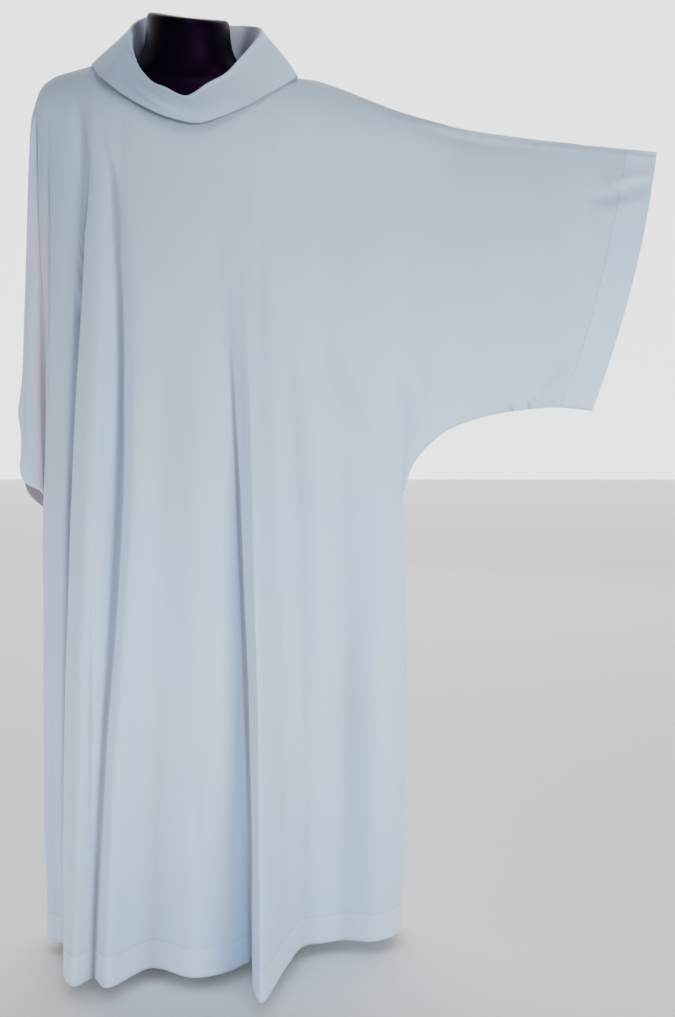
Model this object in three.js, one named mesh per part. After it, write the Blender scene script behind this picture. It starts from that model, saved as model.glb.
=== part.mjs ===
// An alb on a limbless dress form. Millimetres, +Z up, the front of the garment faces -Y,
// the held-out sleeve points along +X and the origin is the middle of the base's underside.
import * as THREE from "three";

// Cloth.
const CLOTH = 1.5;
const HEM_CLOTH = 2.3;
const SEAM_GAP = 0.3;
const HEM_DEPTH = 50;

// Heights that the fold tables give a position for.
const HEIGHT = { hem: 20, low: 400, mid: 800, high: 1150, chest: 1330 };

// Rows of the body from the top edge to the chest, from there to the armpits, and to the hem turn.
const YOKE_ROWS = 6;
const CHEST_ROWS = 8;
const SKIRT_ROWS = 9;
const ARMPIT_ROW = YOKE_ROWS + CHEST_ROWS;

// Neckline: an oval that drops at the front and rises a little at the back.
const NECK = { half: 96, front: 90, back: 72, z: 1486.5, tilt: 6.5, drop: 83, rise: 11 };

// Shoulder lines and the first hand of the held-out sleeve, from the neck outwards.
const SHOULDER = [
  { x: -237, z: 1442 },
  { x: -228.5, z: 1453 },
  { x: -220, z: 1459.6 },
  { x: -204, z: 1466 },
  { x: -180, z: 1473.5 },
  { x: -153, z: 1481 },
  { x: -96, z: 1493 },
  { x: 96, z: 1480 },
  { x: 172, z: 1461 },
  { x: 192, z: 1459 },
  { x: 216, z: 1456 },
  { x: 237, z: 1447 },
  { x: 256, z: 1440 },
  { x: 296, z: 1424 },
  { x: 345, z: 1407 },
];

// Lines down the front panel from side seam to side seam: crowns, faces and creases of the folds.
// Each holds the x where it leaves the top edge, the cuts to the next line and [x, y] at five heights.
const FRONT = [
  { line: "left side seam", top: -237, cuts: 1,
    hem: [-242, 62], low: [-218, 62], mid: [-212, 62], high: [-243, 6], chest: [-243, -2] },
  { line: "left return", top: -233, cuts: 1,
    hem: [-262, 38], low: [-246, 34], mid: [-228, 30], high: [-240, -2], chest: [-240, -9] },
  { line: "left panel edge", top: -227, cuts: 2,
    hem: [-265, 10], low: [-259, 3], mid: [-248, 0], high: [-233, -12], chest: [-230, -22] },
  { line: "left panel face", top: -206, cuts: 2,
    hem: [-246, -4], low: [-238, -20], mid: [-222, -38], high: [-203, -50], chest: [-197, -48] },
  { line: "first crease", top: -175, cuts: 2,
    hem: [-227, -22], low: [-210, -32], mid: [-191, -38], high: [-168, -60], chest: [-164, -70] },
  { line: "first fold edge", top: -152, cuts: 2,
    hem: [-208, -150], low: [-206, -110], mid: [-186, -92], high: [-159, -86], chest: [-148, -79] },
  { line: "first fold crown", top: -128, cuts: 3,
    hem: [-188, -180], low: [-172, -152], mid: [-150, -130], high: [-130, -110], chest: [-126, -90] },
  { line: "second crease", top: -107, cuts: 3,
    hem: [-162, -138], low: [-142, -117], mid: [-113, -97], high: [-101, -93], chest: [-104, -96] },
  { line: "second fold crown", top: -86, cuts: 3,
    hem: [-136, -186], low: [-113, -160], mid: [-84, -138], high: [-78, -112], chest: [-80, -102] },
  { line: "left hollow", top: -55, cuts: 3,
    hem: [-72, -112], low: [-50, -120], mid: [-33, -124], high: [-31, -117], chest: [-38, -108] },
  { line: "centre fold crown", top: 5, cuts: 3,
    hem: [-1, -157], low: [7, -146], mid: [14, -138], high: [12, -119], chest: [5, -110] },
  { line: "run to third crease", top: 60, cuts: 2,
    hem: [51, -80], low: [52, -104], mid: [50, -118], high: [46, -114], chest: [42, -108] },
  { line: "third crease", top: 81, cuts: 2,
    hem: [90, -50], low: [82, -68], mid: [73, -86], high: [68, -106], chest: [68, -104] },
  { line: "big fold edge", top: 92, cuts: 2,
    hem: [98, -185], low: [97, -162], mid: [89, -138], high: [82, -114], chest: [83, -102] },
  { line: "big fold crown", top: 108, cuts: 3,
    hem: [116, -240], low: [112, -205], mid: [102, -164], high: [95, -119], chest: [99, -99] },
  { line: "big fold foot", top: 133, cuts: 2,
    hem: [152, -105], low: [147, -92], mid: [137, -90], high: [122, -106], chest: [127, -92] },
  { line: "right hollow", top: 165, cuts: 2,
    hem: [180, -22], low: [180, -50], mid: [170, -66], high: [158, -90], chest: [157, -80] },
  { line: "right band crown", top: 200, cuts: 2,
    hem: [212, -8], low: [215, -38], mid: [206, -64], high: [188, -82], chest: [186, -66] },
  { line: "right trough", top: 236, cuts: 2,
    hem: [246, 4], low: [252, -6], mid: [250, -32], high: [230, -60], chest: [216, -53] },
  { line: "right face", top: 275, cuts: 2,
    hem: [297, -4], low: [305, -20], mid: [305, -34], high: [288, -50], chest: [266, -42] },
  { line: "right side", top: 312, cuts: 2,
    hem: [338, 28], low: [343, 4], mid: [338, -10], high: [335, -43], chest: [320, -34] },
  { line: "right side seam", top: 345, cuts: 0,
    hem: [348, 75], low: [352, 38], mid: [344, 0], high: [356, -40], chest: [352, -29] },
];

// The same down the back panel.
const BACK = [
  { line: "left side seam", top: -237, cuts: 1,
    hem: [-242, 62], low: [-218, 62], mid: [-212, 62], high: [-240, 62], chest: [-241, 28] },
  { line: "left return", top: -233, cuts: 2,
    hem: [-250, 92], low: [-222, 88], mid: [-208, 86], high: [-234, 78], chest: [-237, 38] },
  { line: "left panel face", top: -216, cuts: 2,
    hem: [-212, 150], low: [-200, 124], mid: [-190, 110], high: [-206, 94], chest: [-214, 58] },
  { line: "first crease", top: -172, cuts: 3,
    hem: [-176, 128], low: [-168, 110], mid: [-160, 102], high: [-162, 96], chest: [-168, 78] },
  { line: "first fold crown", top: -122, cuts: 3,
    hem: [-132, 194], low: [-128, 160], mid: [-120, 134], high: [-118, 110], chest: [-118, 92] },
  { line: "second crease", top: -84, cuts: 3,
    hem: [-88, 126], low: [-86, 117], mid: [-82, 110], high: [-78, 105], chest: [-78, 99] },
  { line: "second fold crown", top: -55, cuts: 3,
    hem: [-40, 180], low: [-42, 150], mid: [-40, 130], high: [-38, 112], chest: [-38, 104] },
  { line: "centre crease", top: 3, cuts: 3,
    hem: [8, 130], low: [6, 122], mid: [4, 116], high: [2, 109], chest: [2, 105] },
  { line: "third fold crown", top: 58, cuts: 3,
    hem: [55, 186], low: [52, 156], mid: [46, 131], high: [42, 111], chest: [42, 103] },
  { line: "third crease", top: 88, cuts: 3,
    hem: [100, 118], low: [95, 111], mid: [86, 106], high: [78, 103], chest: [80, 97] },
  { line: "fourth fold crown", top: 122, cuts: 3,
    hem: [138, 187], low: [132, 153], mid: [124, 127], high: [116, 106], chest: [117, 91] },
  { line: "fourth crease", top: 155, cuts: 2,
    hem: [180, 100], low: [175, 94], mid: [165, 89], high: [154, 90], chest: [150, 80] },
  { line: "fifth fold crown", top: 195, cuts: 2,
    hem: [222, 135], low: [218, 108], mid: [208, 84], high: [192, 80], chest: [186, 66] },
  { line: "fifth crease", top: 236, cuts: 2,
    hem: [262, 85], low: [260, 62], mid: [252, 48], high: [234, 62], chest: [225, 53] },
  { line: "right face", top: 275, cuts: 2,
    hem: [305, 100], low: [308, 64], mid: [303, 40], high: [290, 54], chest: [268, 44] },
  { line: "right side", top: 312, cuts: 2,
    hem: [338, 102], low: [343, 62], mid: [338, 10], high: [335, 45], chest: [320, 36] },
  { line: "right side seam", top: 345, cuts: 0,
    hem: [348, 75], low: [352, 38], mid: [344, 0], high: [356, 40], chest: [352, 29] },
];

// The held-out sleeve past the armhole: its top line and under seam as [x, z], how far each
// layer stands off, and the bow of the line.
const HELD_SLEEVE = [
  { line: "upper arm", top: [430, 1385], under: [363, 849], front: 37, back: 38, bow: 0, cuts: 2 },
  { line: "elbow", top: [520, 1371], under: [410, 897], front: 33, back: 35, bow: 2, cuts: 2 },
  { line: "forearm", top: [605, 1361], under: [480, 924], front: 29, back: 33, bow: 4, cuts: 2 },
  { line: "wrist", top: [665, 1355], under: [565, 937], front: 26, back: 30, bow: 6, cuts: 1 },
  { line: "cuff turn", top: [698, 1352], under: [603, 938], front: 24, back: 28, bow: 8, cuts: 1 },
  { line: "cuff edge", top: [746, 1347], under: [652, 933], front: 22, back: 26, bow: 10, cuts: 0 },
];

// The hanging sleeve as [x, y, z]: its outer line from the shoulder to the cuff, its under seam
// and the cuff edge of each layer.
const HANGING_OUTER = [
  [-237, 0, 1442], [-250, 4, 1405], [-257, 12, 1350], [-265, 25, 1271], [-278, 42, 1112],
  [-289, 55, 979], [-298, 60, 926],
];
const HANGING_UNDER = [
  [-212, 62, 800], [-224, 65, 762], [-234, 69, 720], [-242, 74, 672],
];
const HANGING_CUFF_FRONT = [
  [-298, 60, 926], [-291, 42, 905], [-288, 28, 860], [-282, 18, 825], [-268, 14, 806],
  [-256, 18, 796], [-250, 34, 775], [-246, 54, 725], [-242, 74, 672],
];
const HANGING_CUFF_BACK = [
  [-298, 60, 926], [-294, 84, 895], [-288, 106, 850], [-276, 120, 806], [-262, 124, 772],
  [-251, 116, 738], [-245, 98, 705], [-242, 74, 672],
];
const HANGING_STEPS = [0.22, 0.44, 0.66, 0.88, 1];

// The collar round the neck, by the angle from the right through the front.
const COLLAR = [
  { angle: 0, rim: [117, -5, 1532], edge: [171, -8, 1465] },
  { angle: 25, rim: [104, -28, 1511], edge: [152, -46, 1447] },
  { angle: 45, rim: [86, -48, 1488], edge: [128, -72, 1431] },
  { angle: 65, rim: [62, -68, 1461], edge: [100, -95, 1412] },
  { angle: 80, rim: [37, -83, 1446], edge: [64, -108, 1394] },
  { angle: 95, rim: [4, -93, 1426], edge: [22, -115, 1383] },
  { angle: 110, rim: [-30, -85, 1440], edge: [-22, -113, 1388] },
  { angle: 125, rim: [-50, -76, 1449], edge: [-55, -110, 1403] },
  { angle: 140, rim: [-71, -57, 1471], edge: [-88, -99, 1424] },
  { angle: 155, rim: [-84, -35, 1497], edge: [-121, -78, 1448] },
  { angle: 180, rim: [-93, 0, 1526], edge: [-151, -14, 1488] },
  { angle: 210, rim: [-90, 42, 1552], edge: [-138, 50, 1490] },
  { angle: 235, rim: [-66, 68, 1566], edge: [-98, 92, 1488] },
  { angle: 270, rim: [0, 82, 1562], edge: [0, 112, 1482] },
  { angle: 300, rim: [52, 76, 1553], edge: [76, 102, 1474] },
  { angle: 325, rim: [92, 55, 1549], edge: [128, 75, 1470] },
  { angle: 345, rim: [112, 22, 1542], edge: [160, 30, 1470] },
];
const COLLAR_CLOTH = 1.8;
const COLLAR_STEPS = 44;
const COLLAR_ROLL = 4;

// The dress form: half width and depth to the front and back at each height.
const FORM = [
  { z: 884, half: 96, front: 46, back: 46 },
  { z: 892, half: 118, front: 58, back: 58 },
  { z: 912, half: 130, front: 66, back: 66 },
  { z: 950, half: 134, front: 70, back: 70 },
  { z: 1010, half: 132, front: 71, back: 70 },
  { z: 1080, half: 138, front: 75, back: 72 },
  { z: 1150, half: 150, front: 82, back: 78 },
  { z: 1220, half: 164, front: 88, back: 84 },
  { z: 1280, half: 176, front: 90, back: 88 },
  { z: 1330, half: 190, front: 88, back: 90 },
  { z: 1370, half: 203, front: 84, back: 88 },
  { z: 1400, half: 211, front: 76, back: 84 },
  { z: 1425, half: 214, front: 68, back: 78 },
  { z: 1441, half: 208, front: 61, back: 74 },
  { z: 1452, half: 192, front: 55, back: 69 },
  { z: 1461, half: 163, front: 52, back: 67 },
  { z: 1470, half: 125, front: 52, back: 69 },
  { z: 1480, half: 93, front: 53, back: 67 },
  { z: 1492, half: 76, front: 54, back: 65 },
  { z: 1510, half: 68.5, front: 56, back: 64 },
  { z: 1535, half: 66.5, front: 56, back: 63 },
  { z: 1553, half: 66, front: 56, back: 62 },
  { z: 1557, half: 62, front: 52, back: 58 },
];
const FORM_STEPS = 44;
const FORM_LEAN = 0.05;
const FORM_LEAN_FROM = 1280;
const FORM_TAPER = 1.45;
const FORM_TAPER_FROM = 1435;

const POLE_RADIUS = 12.5;
const BASE_RADIUS = 86;
const BASE_THICK = 14;
const BOSS = { radius: 22, height: 38 };
// How far the garment and its form stand forward of the pole.
const FORWARD = 30;

const cloth = new THREE.MeshStandardMaterial({ color: 0xcdd4dd, roughness: 0.75, metalness: 0 });
const cover = new THREE.MeshStandardMaterial({ color: 0x14101a, roughness: 0.4, metalness: 0 });
const metal = new THREE.MeshStandardMaterial({ color: 0x3a3a3d, roughness: 0.35, metalness: 0.9 });

const vec = (p) => new THREE.Vector3(...p);
const mix = (a, b, u) => a + (b - a) * u;

// Smooth curve through knots t and values p (numbers or vectors as arrays) at parameter u.
function curveAt(t, p, u) {
  const last = t.length - 1;
  let i = 0;
  while (i < last - 1 && u > t[i + 1]) i += 1;
  const h = t[i + 1] - t[i];
  const s = (u - t[i]) / h;
  return p[i].map((_, k) => {
    const slope = (j) => {
      const before = j > 0 ? (p[j][k] - p[j - 1][k]) / (t[j] - t[j - 1]) : null;
      const after = j < last ? (p[j + 1][k] - p[j][k]) / (t[j + 1] - t[j]) : null;
      if (before === null) return after;
      if (after === null) return before;
      const a = t[j] - t[j - 1];
      const b = t[j + 1] - t[j];
      return (before * b + after * a) / (a + b);
    };
    const s2 = s * s;
    const s3 = s2 * s;
    return (
      (2 * s3 - 3 * s2 + 1) * p[i][k] +
      (s3 - 2 * s2 + s) * h * slope(i) +
      (3 * s2 - 2 * s3) * p[i + 1][k] +
      (s3 - s2) * h * slope(i + 1)
    );
  });
}

// Knots spaced by the square root of the distance, which keeps close points from looping.
function knots(points) {
  const t = [0];
  for (let i = 1; i < points.length; i += 1) {
    const gap = vec(points[i]).distanceTo(vec(points[i - 1]));
    t.push(t[i - 1] + Math.sqrt(Math.max(gap, 0.01)));
  }
  return t;
}

// Point on the polyline's smooth curve at a share of its knots.
function along(points, share) {
  const t = knots(points);
  return curveAt(t, points, share * t[t.length - 1]);
}

function topEdge(x, side) {
  if (Math.abs(x) < NECK.half) {
    const c = x / NECK.half;
    const s = Math.sqrt(1 - c * c);
    const lift = side > 0 ? -NECK.drop : NECK.rise;
    return [x, side > 0 ? -NECK.front * s : NECK.back * s, NECK.z - NECK.tilt * c + lift * s * s];
  }
  const xs = SHOULDER.map((r) => r.x);
  const zs = SHOULDER.map((r) => [r.z]);
  return [x, 0, curveAt(xs, zs, x)[0]];
}

// Heights of the rows below the chest.
function rowHeights() {
  const z = [];
  for (let i = 1; i <= CHEST_ROWS; i += 1) z.push(mix(HEIGHT.chest, HEIGHT.mid, i / CHEST_ROWS));
  const turn = HEIGHT.hem + HEM_DEPTH;
  for (let i = 1; i <= SKIRT_ROWS; i += 1) z.push(mix(HEIGHT.mid, turn + 3, i / SKIRT_ROWS));
  z.push(turn, HEIGHT.hem);
  return z;
}

// One line of a fold table as a column of points from the top edge to the hem.
function column(row, side) {
  const top = topEdge(row.top, side);
  const chest = [row.chest[0], row.chest[1], HEIGHT.chest];
  const dip = THREE.MathUtils.degToRad(12 + (52 * Math.abs(top[1])) / NECK.front);
  const reach = 0.42 * Math.hypot(top[1] - chest[1], top[2] - chest[2]);
  const leave = side * reach * Math.cos(dip);
  const a = [mix(top[0], chest[0], 0.2), top[1] - leave, top[2] - reach * Math.sin(dip)];
  const b = [mix(top[0], chest[0], 0.8), chest[1], chest[2] + reach];
  const points = [];
  for (let i = 0; i <= YOKE_ROWS; i += 1) {
    const u = i / YOKE_ROWS;
    const v = 1 - u;
    const [p, q, r, s] = [v * v * v, 3 * v * v * u, 3 * v * u * u, u * u * u];
    points.push(top.map((_, k) => p * top[k] + q * a[k] + r * b[k] + s * chest[k]));
  }
  const t = [-HEIGHT.chest, -HEIGHT.high, -HEIGHT.mid, -HEIGHT.low, -HEIGHT.hem];
  const p = [row.chest, row.high, row.mid, row.low, row.hem];
  const seam = row.line.endsWith("seam");
  for (const z of rowHeights()) {
    const from = seam && z < HEIGHT.mid ? 2 : 0;
    const to = seam && z >= HEIGHT.mid ? 3 : 5;
    points.push([...curveAt(t.slice(from, to), p.slice(from, to), -z), z]);
  }
  return points;
}

// How far down a column each of its rows down to the armpit lies, from 0 to 1.
function shares(points) {
  const top = points[0][2];
  return points.slice(0, ARMPIT_ROW + 1).map((p) => (top - p[2]) / (top - points[ARMPIT_ROW][2]));
}

// A line of the held-out sleeve as a column of points, row for row with the armhole's.
function sleeveColumn(row, side, share) {
  return share.map((f) => {
    const swell = Math.pow(Math.sin(Math.PI * f), 0.8);
    return [
      mix(row.top[0], row.under[0], f) + row.bow * swell,
      -side * (side > 0 ? row.front : row.back) * swell,
      mix(row.top[1], row.under[1], f),
    ];
  });
}

// All of one panel: its mid surface as points and quads, with the seam edges named.
function panel(table, side) {
  const lines = table.map((row) => ({ cuts: row.cuts, points: column(row, side) }));
  const body = lines.length;
  const armhole = lines[body - 1];
  armhole.cuts = 2;
  const share = shares(armhole.points);
  for (const row of HELD_SLEEVE) lines.push({ cuts: row.cuts, points: sleeveColumn(row, side, share) });
  const rows = armhole.points.length;
  const columns = [];
  lines.forEach((line, j) => {
    const cuts = Math.max(1, line.cuts);
    for (let c = 0; c < cuts; c += 1) {
      const sleeve = j > body - 1 || (j === body - 1 && c > 0);
      columns.push({ j, u: c / cuts, sleeve, points: [] });
    }
  });
  for (let r = 0; r < rows; r += 1) {
    const count = r <= ARMPIT_ROW ? lines.length : body;
    const points = lines.slice(0, count).map((l) => l.points[r]);
    const t = knots(points);
    for (const col of columns) {
      if (col.sleeve && r > ARMPIT_ROW) continue;
      const from = t[col.j];
      const to = t[Math.min(col.j + 1, count - 1)];
      const p = curveAt(t, points, mix(from, to, col.u));
      col.points.push(r === 0 && Math.abs(p[0]) < NECK.half ? topEdge(p[0], side) : p);
    }
  }
  // The hanging sleeve, patched between the left armhole line and its cuff.
  const arm = columns[0].points.slice(0, ARMPIT_ROW + 1);
  const cuffLine = side > 0 ? HANGING_CUFF_FRONT : HANGING_CUFF_BACK;
  const hanging = HANGING_STEPS.map((s) => {
    const outer = along(HANGING_OUTER, s);
    const under = along(HANGING_UNDER, s);
    const points = arm.map((g, r) => {
      const f = r / ARMPIT_ROW;
      const c = along(cuffLine, f);
      return g.map((_, k) => {
        const bowOuter = outer[k] - mix(arm[0][k], cuffLine[0][k], s);
        const bowUnder = under[k] - mix(arm[ARMPIT_ROW][k], cuffLine[cuffLine.length - 1][k], s);
        return mix(g[k], c[k], s) + (1 - f) * bowOuter + f * bowUnder;
      });
    });
    return { points };
  });
  return [...hanging.reverse(), ...columns];
}

// Closes a sheet of columns into a wall. Seam edges are drawn back from the seam plane.
function wall(columns, side) {
  const id = [];
  const points = [];
  for (const col of columns) id.push(col.points.map((p) => points.push(vec(p)) - 1));
  const quads = [];
  for (let j = 0; j + 1 < columns.length; j += 1)
    for (let r = 0; r + 1 < Math.min(id[j].length, id[j + 1].length); r += 1)
      quads.push([id[j][r], id[j][r + 1], id[j + 1][r + 1], id[j + 1][r]]);
  const turn = (q) => (side > 0 ? q : [...q].reverse());
  const faces = quads.map(turn);
  const normals = normalsOf(points, faces);
  const rows = Math.max(...columns.map((c) => c.points.length));
  const seams = new Set();
  const flat = new Set();
  columns.forEach((col, j) => {
    const hangs = j < HANGING_STEPS.length;
    if (Math.abs(col.points[0][0]) >= NECK.half) seams.add(id[j][0]);
    if (Math.abs(col.points[0][0]) >= NECK.half && !hangs) flat.add(id[j][0]);
    if (col.points.length < rows) seams.add(id[j][ARMPIT_ROW]);
    if (col.points.length < rows && !hangs) flat.add(id[j][ARMPIT_ROW]);
  });
  const firstBody = columns.findIndex((c) => c.points.length === rows);
  const lastBody = columns.findLastIndex((c) => c.points.length === rows);
  for (let r = ARMPIT_ROW; r < rows; r += 1) seams.add(id[firstBody][r]).add(id[lastBody][r]);
  for (const v of flat) points[v].y = 0;
  for (const v of seams) {
    const lie = Math.min(1, Math.abs(normals[v].y) + 0.15);
    points[v].y -= side * (SEAM_GAP / 2 + (CLOTH / 2) * lie);
  }
  const thick = points.map(() => CLOTH);
  columns.forEach((col, j) => {
    for (let r = rows - 2; r < col.points.length; r += 1) thick[id[j][r]] = HEM_CLOTH;
    const cuff = j < 2 || j > columns.length - 3;
    for (let r = 2; cuff && r < ARMPIT_ROW - 1; r += 1) thick[id[j][r]] = HEM_CLOTH;
  });
  const again = normalsOf(points, faces);
  return thicken(points, faces, again, thick);
}

// Directions to move a sheet's points by one unit of wall, longer where its faces meet at an angle.
function normalsOf(points, faces) {
  const flats = faces.map((f) => {
    const a = points[f[2]].clone().sub(points[f[0]]);
    const b = points[f[3]].clone().sub(points[f[1]]);
    return a.cross(b).normalize();
  });
  const around = points.map(() => []);
  faces.forEach((f, k) => f.forEach((v) => around[v].push(flats[k])));
  return around.map((flat) => {
    const n = new THREE.Vector3();
    for (const m of flat) n.add(m);
    n.normalize();
    const least = () => flat.reduce((a, b) => (n.dot(a) < n.dot(b) ? a : b));
    for (let k = 0; k < 12 && n.dot(least()) < 0.3; k += 1) n.addScaledVector(least(), 0.2).normalize();
    const lie = n.dot(least());
    return lie < 0.3 ? n.multiplyScalar(0.6) : n.divideScalar(Math.max(0.55, lie));
  });
}

// A wall round a sheet: the outside half a thickness out, the rest of the thickness inwards.
function thicken(points, faces, normals, thick) {
  const position = [];
  const push = (p) => position.push(p.x, p.y, p.z);
  points.forEach((p, i) => push(p.clone().addScaledVector(normals[i], CLOTH / 2)));
  points.forEach((p, i) => push(p.clone().addScaledVector(normals[i], CLOTH / 2 - thick[i])));
  const n = points.length;
  const index = [];
  const edges = new Map();
  for (const f of faces) {
    index.push(f[0], f[1], f[2], f[0], f[2], f[3]);
    index.push(f[2] + n, f[1] + n, f[0] + n, f[3] + n, f[2] + n, f[0] + n);
    f.forEach((v, k) => edges.set(v + "," + f[(k + 1) % 4], [v, f[(k + 1) % 4]]));
  }
  for (const [a, b] of edges.values()) {
    if (edges.has(b + "," + a)) continue;
    index.push(b, a, a + n, b, a + n, b + n);
  }
  const geometry = new THREE.BufferGeometry();
  geometry.setAttribute("position", new THREE.Float32BufferAttribute(position, 3));
  geometry.setIndex(index);
  geometry.computeVertexNormals();
  return geometry;
}

// The collar: up from the neckline, over the rim and down to its free edge, all round.
function collar() {
  const angles = COLLAR.map((r) => r.angle);
  const loop = (key) => [...COLLAR.slice(-2), ...COLLAR, ...COLLAR.slice(0, 2)].map((r) => r[key]);
  const before = angles.slice(-2).map((a) => a - 360);
  const after = angles.slice(0, 2).map((a) => a + 360);
  const knotsRound = [...before, ...angles, ...after];
  const points = [];
  const across = 9;
  for (let i = 0; i < COLLAR_STEPS; i += 1) {
    const degrees = (360 * i) / COLLAR_STEPS;
    const angle = THREE.MathUtils.degToRad(degrees);
    const rim = vec(curveAt(knotsRound, loop("rim"), degrees));
    const edge = vec(curveAt(knotsRound, loop("edge"), degrees));
    const seam = neckSeam(angle);
    const out = new THREE.Vector3(edge.x - seam.x, edge.y - seam.y, 0).normalize();
    const inner = rim.clone().addScaledVector(out, -COLLAR_ROLL * 0.8);
    inner.z -= COLLAR_ROLL;
    const outer = rim.clone().addScaledVector(out, COLLAR_ROLL * 0.8);
    outer.z -= COLLAR_ROLL;
    points.push(seam);
    points.push(seam.clone().lerp(inner, 0.5).addScaledVector(out, -1));
    points.push(inner);
    points.push(rim);
    points.push(outer);
    for (const u of [0.25, 0.5, 0.75]) {
      const p = outer.clone().lerp(edge, u).addScaledVector(out, 9 * Math.sin(Math.PI * u));
      points.push(p);
    }
    points.push(edge);
  }
  const faces = [];
  for (let i = 0; i < COLLAR_STEPS; i += 1)
    for (let k = 0; k + 1 < across; k += 1) {
      const a = i * across + k;
      const b = ((i + 1) % COLLAR_STEPS) * across + k;
      faces.push([a, b, b + 1, a + 1]);
    }
  return thicken(points, faces, normalsOf(points, faces), points.map(() => COLLAR_CLOTH));
}

function neckSeam(angle) {
  const s = Math.sin(angle);
  const side = s >= 0 ? 1 : -1;
  const p = topEdge(NECK.half * 0.9999 * Math.cos(angle), side);
  return new THREE.Vector3(p[0] * 0.985, p[1] * 0.985, p[2] + 1.7);
}

// The dress form: oval rings joined from the underside to the top of the neck.
function dressForm() {
  const rings = FORM.map((row) => {
    const lean = FORM_LEAN * THREE.MathUtils.clamp((row.z - FORM_LEAN_FROM) / 150, 0, 1);
    const ring = [];
    for (let i = 0; i < FORM_STEPS; i += 1) {
      const a = (2 * Math.PI * i) / FORM_STEPS;
      const x = row.half * Math.cos(a);
      const taper = row.z > FORM_TAPER_FROM ? FORM_TAPER : 1;
      const depth = Math.sin(a) > 0 ? row.back : -row.front;
      const y = depth * Math.pow(Math.abs(Math.sin(a)), taper);
      ring.push([x, y, row.z - lean * x]);
    }
    return ring;
  });
  const position = [0, 0, FORM[0].z];
  for (const ring of rings) for (const p of ring) position.push(...p);
  const last = FORM[FORM.length - 1];
  position.push(0, 0, last.z + 1);
  const top = position.length / 3 - 1;
  const index = [];
  const at = (r, i) => 1 + r * FORM_STEPS + (i % FORM_STEPS);
  for (let i = 0; i < FORM_STEPS; i += 1) {
    index.push(0, at(0, i + 1), at(0, i));
    for (let r = 0; r + 1 < rings.length; r += 1) {
      index.push(at(r, i), at(r, i + 1), at(r + 1, i + 1));
      index.push(at(r, i), at(r + 1, i + 1), at(r + 1, i));
    }
    index.push(top, at(rings.length - 1, i), at(rings.length - 1, i + 1));
  }
  const geometry = new THREE.BufferGeometry();
  geometry.setAttribute("position", new THREE.Float32BufferAttribute(position, 3));
  geometry.setIndex(index);
  geometry.computeVertexNormals();
  return geometry;
}

function turned(profile, steps) {
  const geometry = new THREE.LatheGeometry(profile.map((p) => new THREE.Vector2(...p)), steps);
  geometry.rotateX(Math.PI / 2);
  return geometry;
}

function base() {
  const r = BASE_RADIUS;
  const b = BOSS.radius;
  const plate = [[0, 0], [r - 2, 0], [r, 2], [r, BASE_THICK - 6], [r - 4, BASE_THICK - 2]];
  const boss = [[b + 8, BASE_THICK], [b, BASE_THICK + 6], [b - 2, BOSS.height], [0, BOSS.height]];
  return turned([...plate, ...boss], 48);
}

function pole() {
  const from = BOSS.height + SEAM_GAP;
  const to = FORM[0].z - SEAM_GAP;
  return turned([[0, from], [POLE_RADIUS, from], [POLE_RADIUS, to], [0, to]], 24);
}

const group = new THREE.Group();
const worn = new THREE.Group();
worn.position.y = -FORWARD;
group.add(worn);

function add(parent, name, geometry, material) {
  const mesh = new THREE.Mesh(geometry, material);
  mesh.name = name;
  parent.add(mesh);
}

add(worn, "front_panel", wall(panel(FRONT, 1), 1), cloth);
add(worn, "back_panel", wall(panel(BACK, -1), -1), cloth);
add(worn, "collar", collar(), cloth);
add(worn, "dress_form", dressForm(), cover);
add(group, "pole", pole(), metal);
add(group, "base", base(), metal);

export default group;
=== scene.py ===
from math import atan2, cos, hypot, pi, radians, sin, sqrt

import bpy
import numpy as np
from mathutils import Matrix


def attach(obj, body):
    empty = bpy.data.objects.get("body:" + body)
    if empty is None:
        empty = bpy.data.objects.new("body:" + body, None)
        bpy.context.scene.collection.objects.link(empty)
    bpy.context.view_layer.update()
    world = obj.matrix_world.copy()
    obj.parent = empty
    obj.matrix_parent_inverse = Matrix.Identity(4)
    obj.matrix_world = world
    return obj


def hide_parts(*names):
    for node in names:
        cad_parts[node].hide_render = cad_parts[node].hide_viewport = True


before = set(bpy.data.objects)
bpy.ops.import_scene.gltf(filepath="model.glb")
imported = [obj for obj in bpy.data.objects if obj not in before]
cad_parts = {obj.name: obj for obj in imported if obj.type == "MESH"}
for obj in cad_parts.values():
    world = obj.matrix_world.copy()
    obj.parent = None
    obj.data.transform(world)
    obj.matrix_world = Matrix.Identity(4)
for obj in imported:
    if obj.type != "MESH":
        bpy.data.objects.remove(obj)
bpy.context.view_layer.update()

MM = 0.001

# ---------------------------------------------------------------- camera
CAMERA_PLACE = (0.236, -2.73, 1.187)
CAMERA_DOWN = 8.75
CAMERA_LENS = 58.58


def set_camera():
    data = bpy.data.cameras.new("viewer")
    data.lens = CAMERA_LENS
    data.sensor_width = 36
    viewer = bpy.data.objects.new("viewer", data)
    bpy.context.scene.collection.objects.link(viewer)
    viewer.location = CAMERA_PLACE
    viewer.rotation_euler = (radians(90 - CAMERA_DOWN), 0, 0)
    bpy.context.scene.camera = viewer


set_camera()

# ---------------------------------------------------------------- sizes, in millimetres
CLOTH = 1.3
HEM_CLOTH = 2.4
SEAM_GAP = 0.12
HEM_DEPTH = 50
FORWARD = 30
HEM, LOW, MID, HIGH, CHEST = 20, 400, 800, 1150, 1330

NECK_HALF, NECK_FRONT, NECK_BACK = 96, 90, 72
NECK_Z, NECK_TILT, NECK_DROP, NECK_RISE = 1486.5, 6.5, 83, 11

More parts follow.
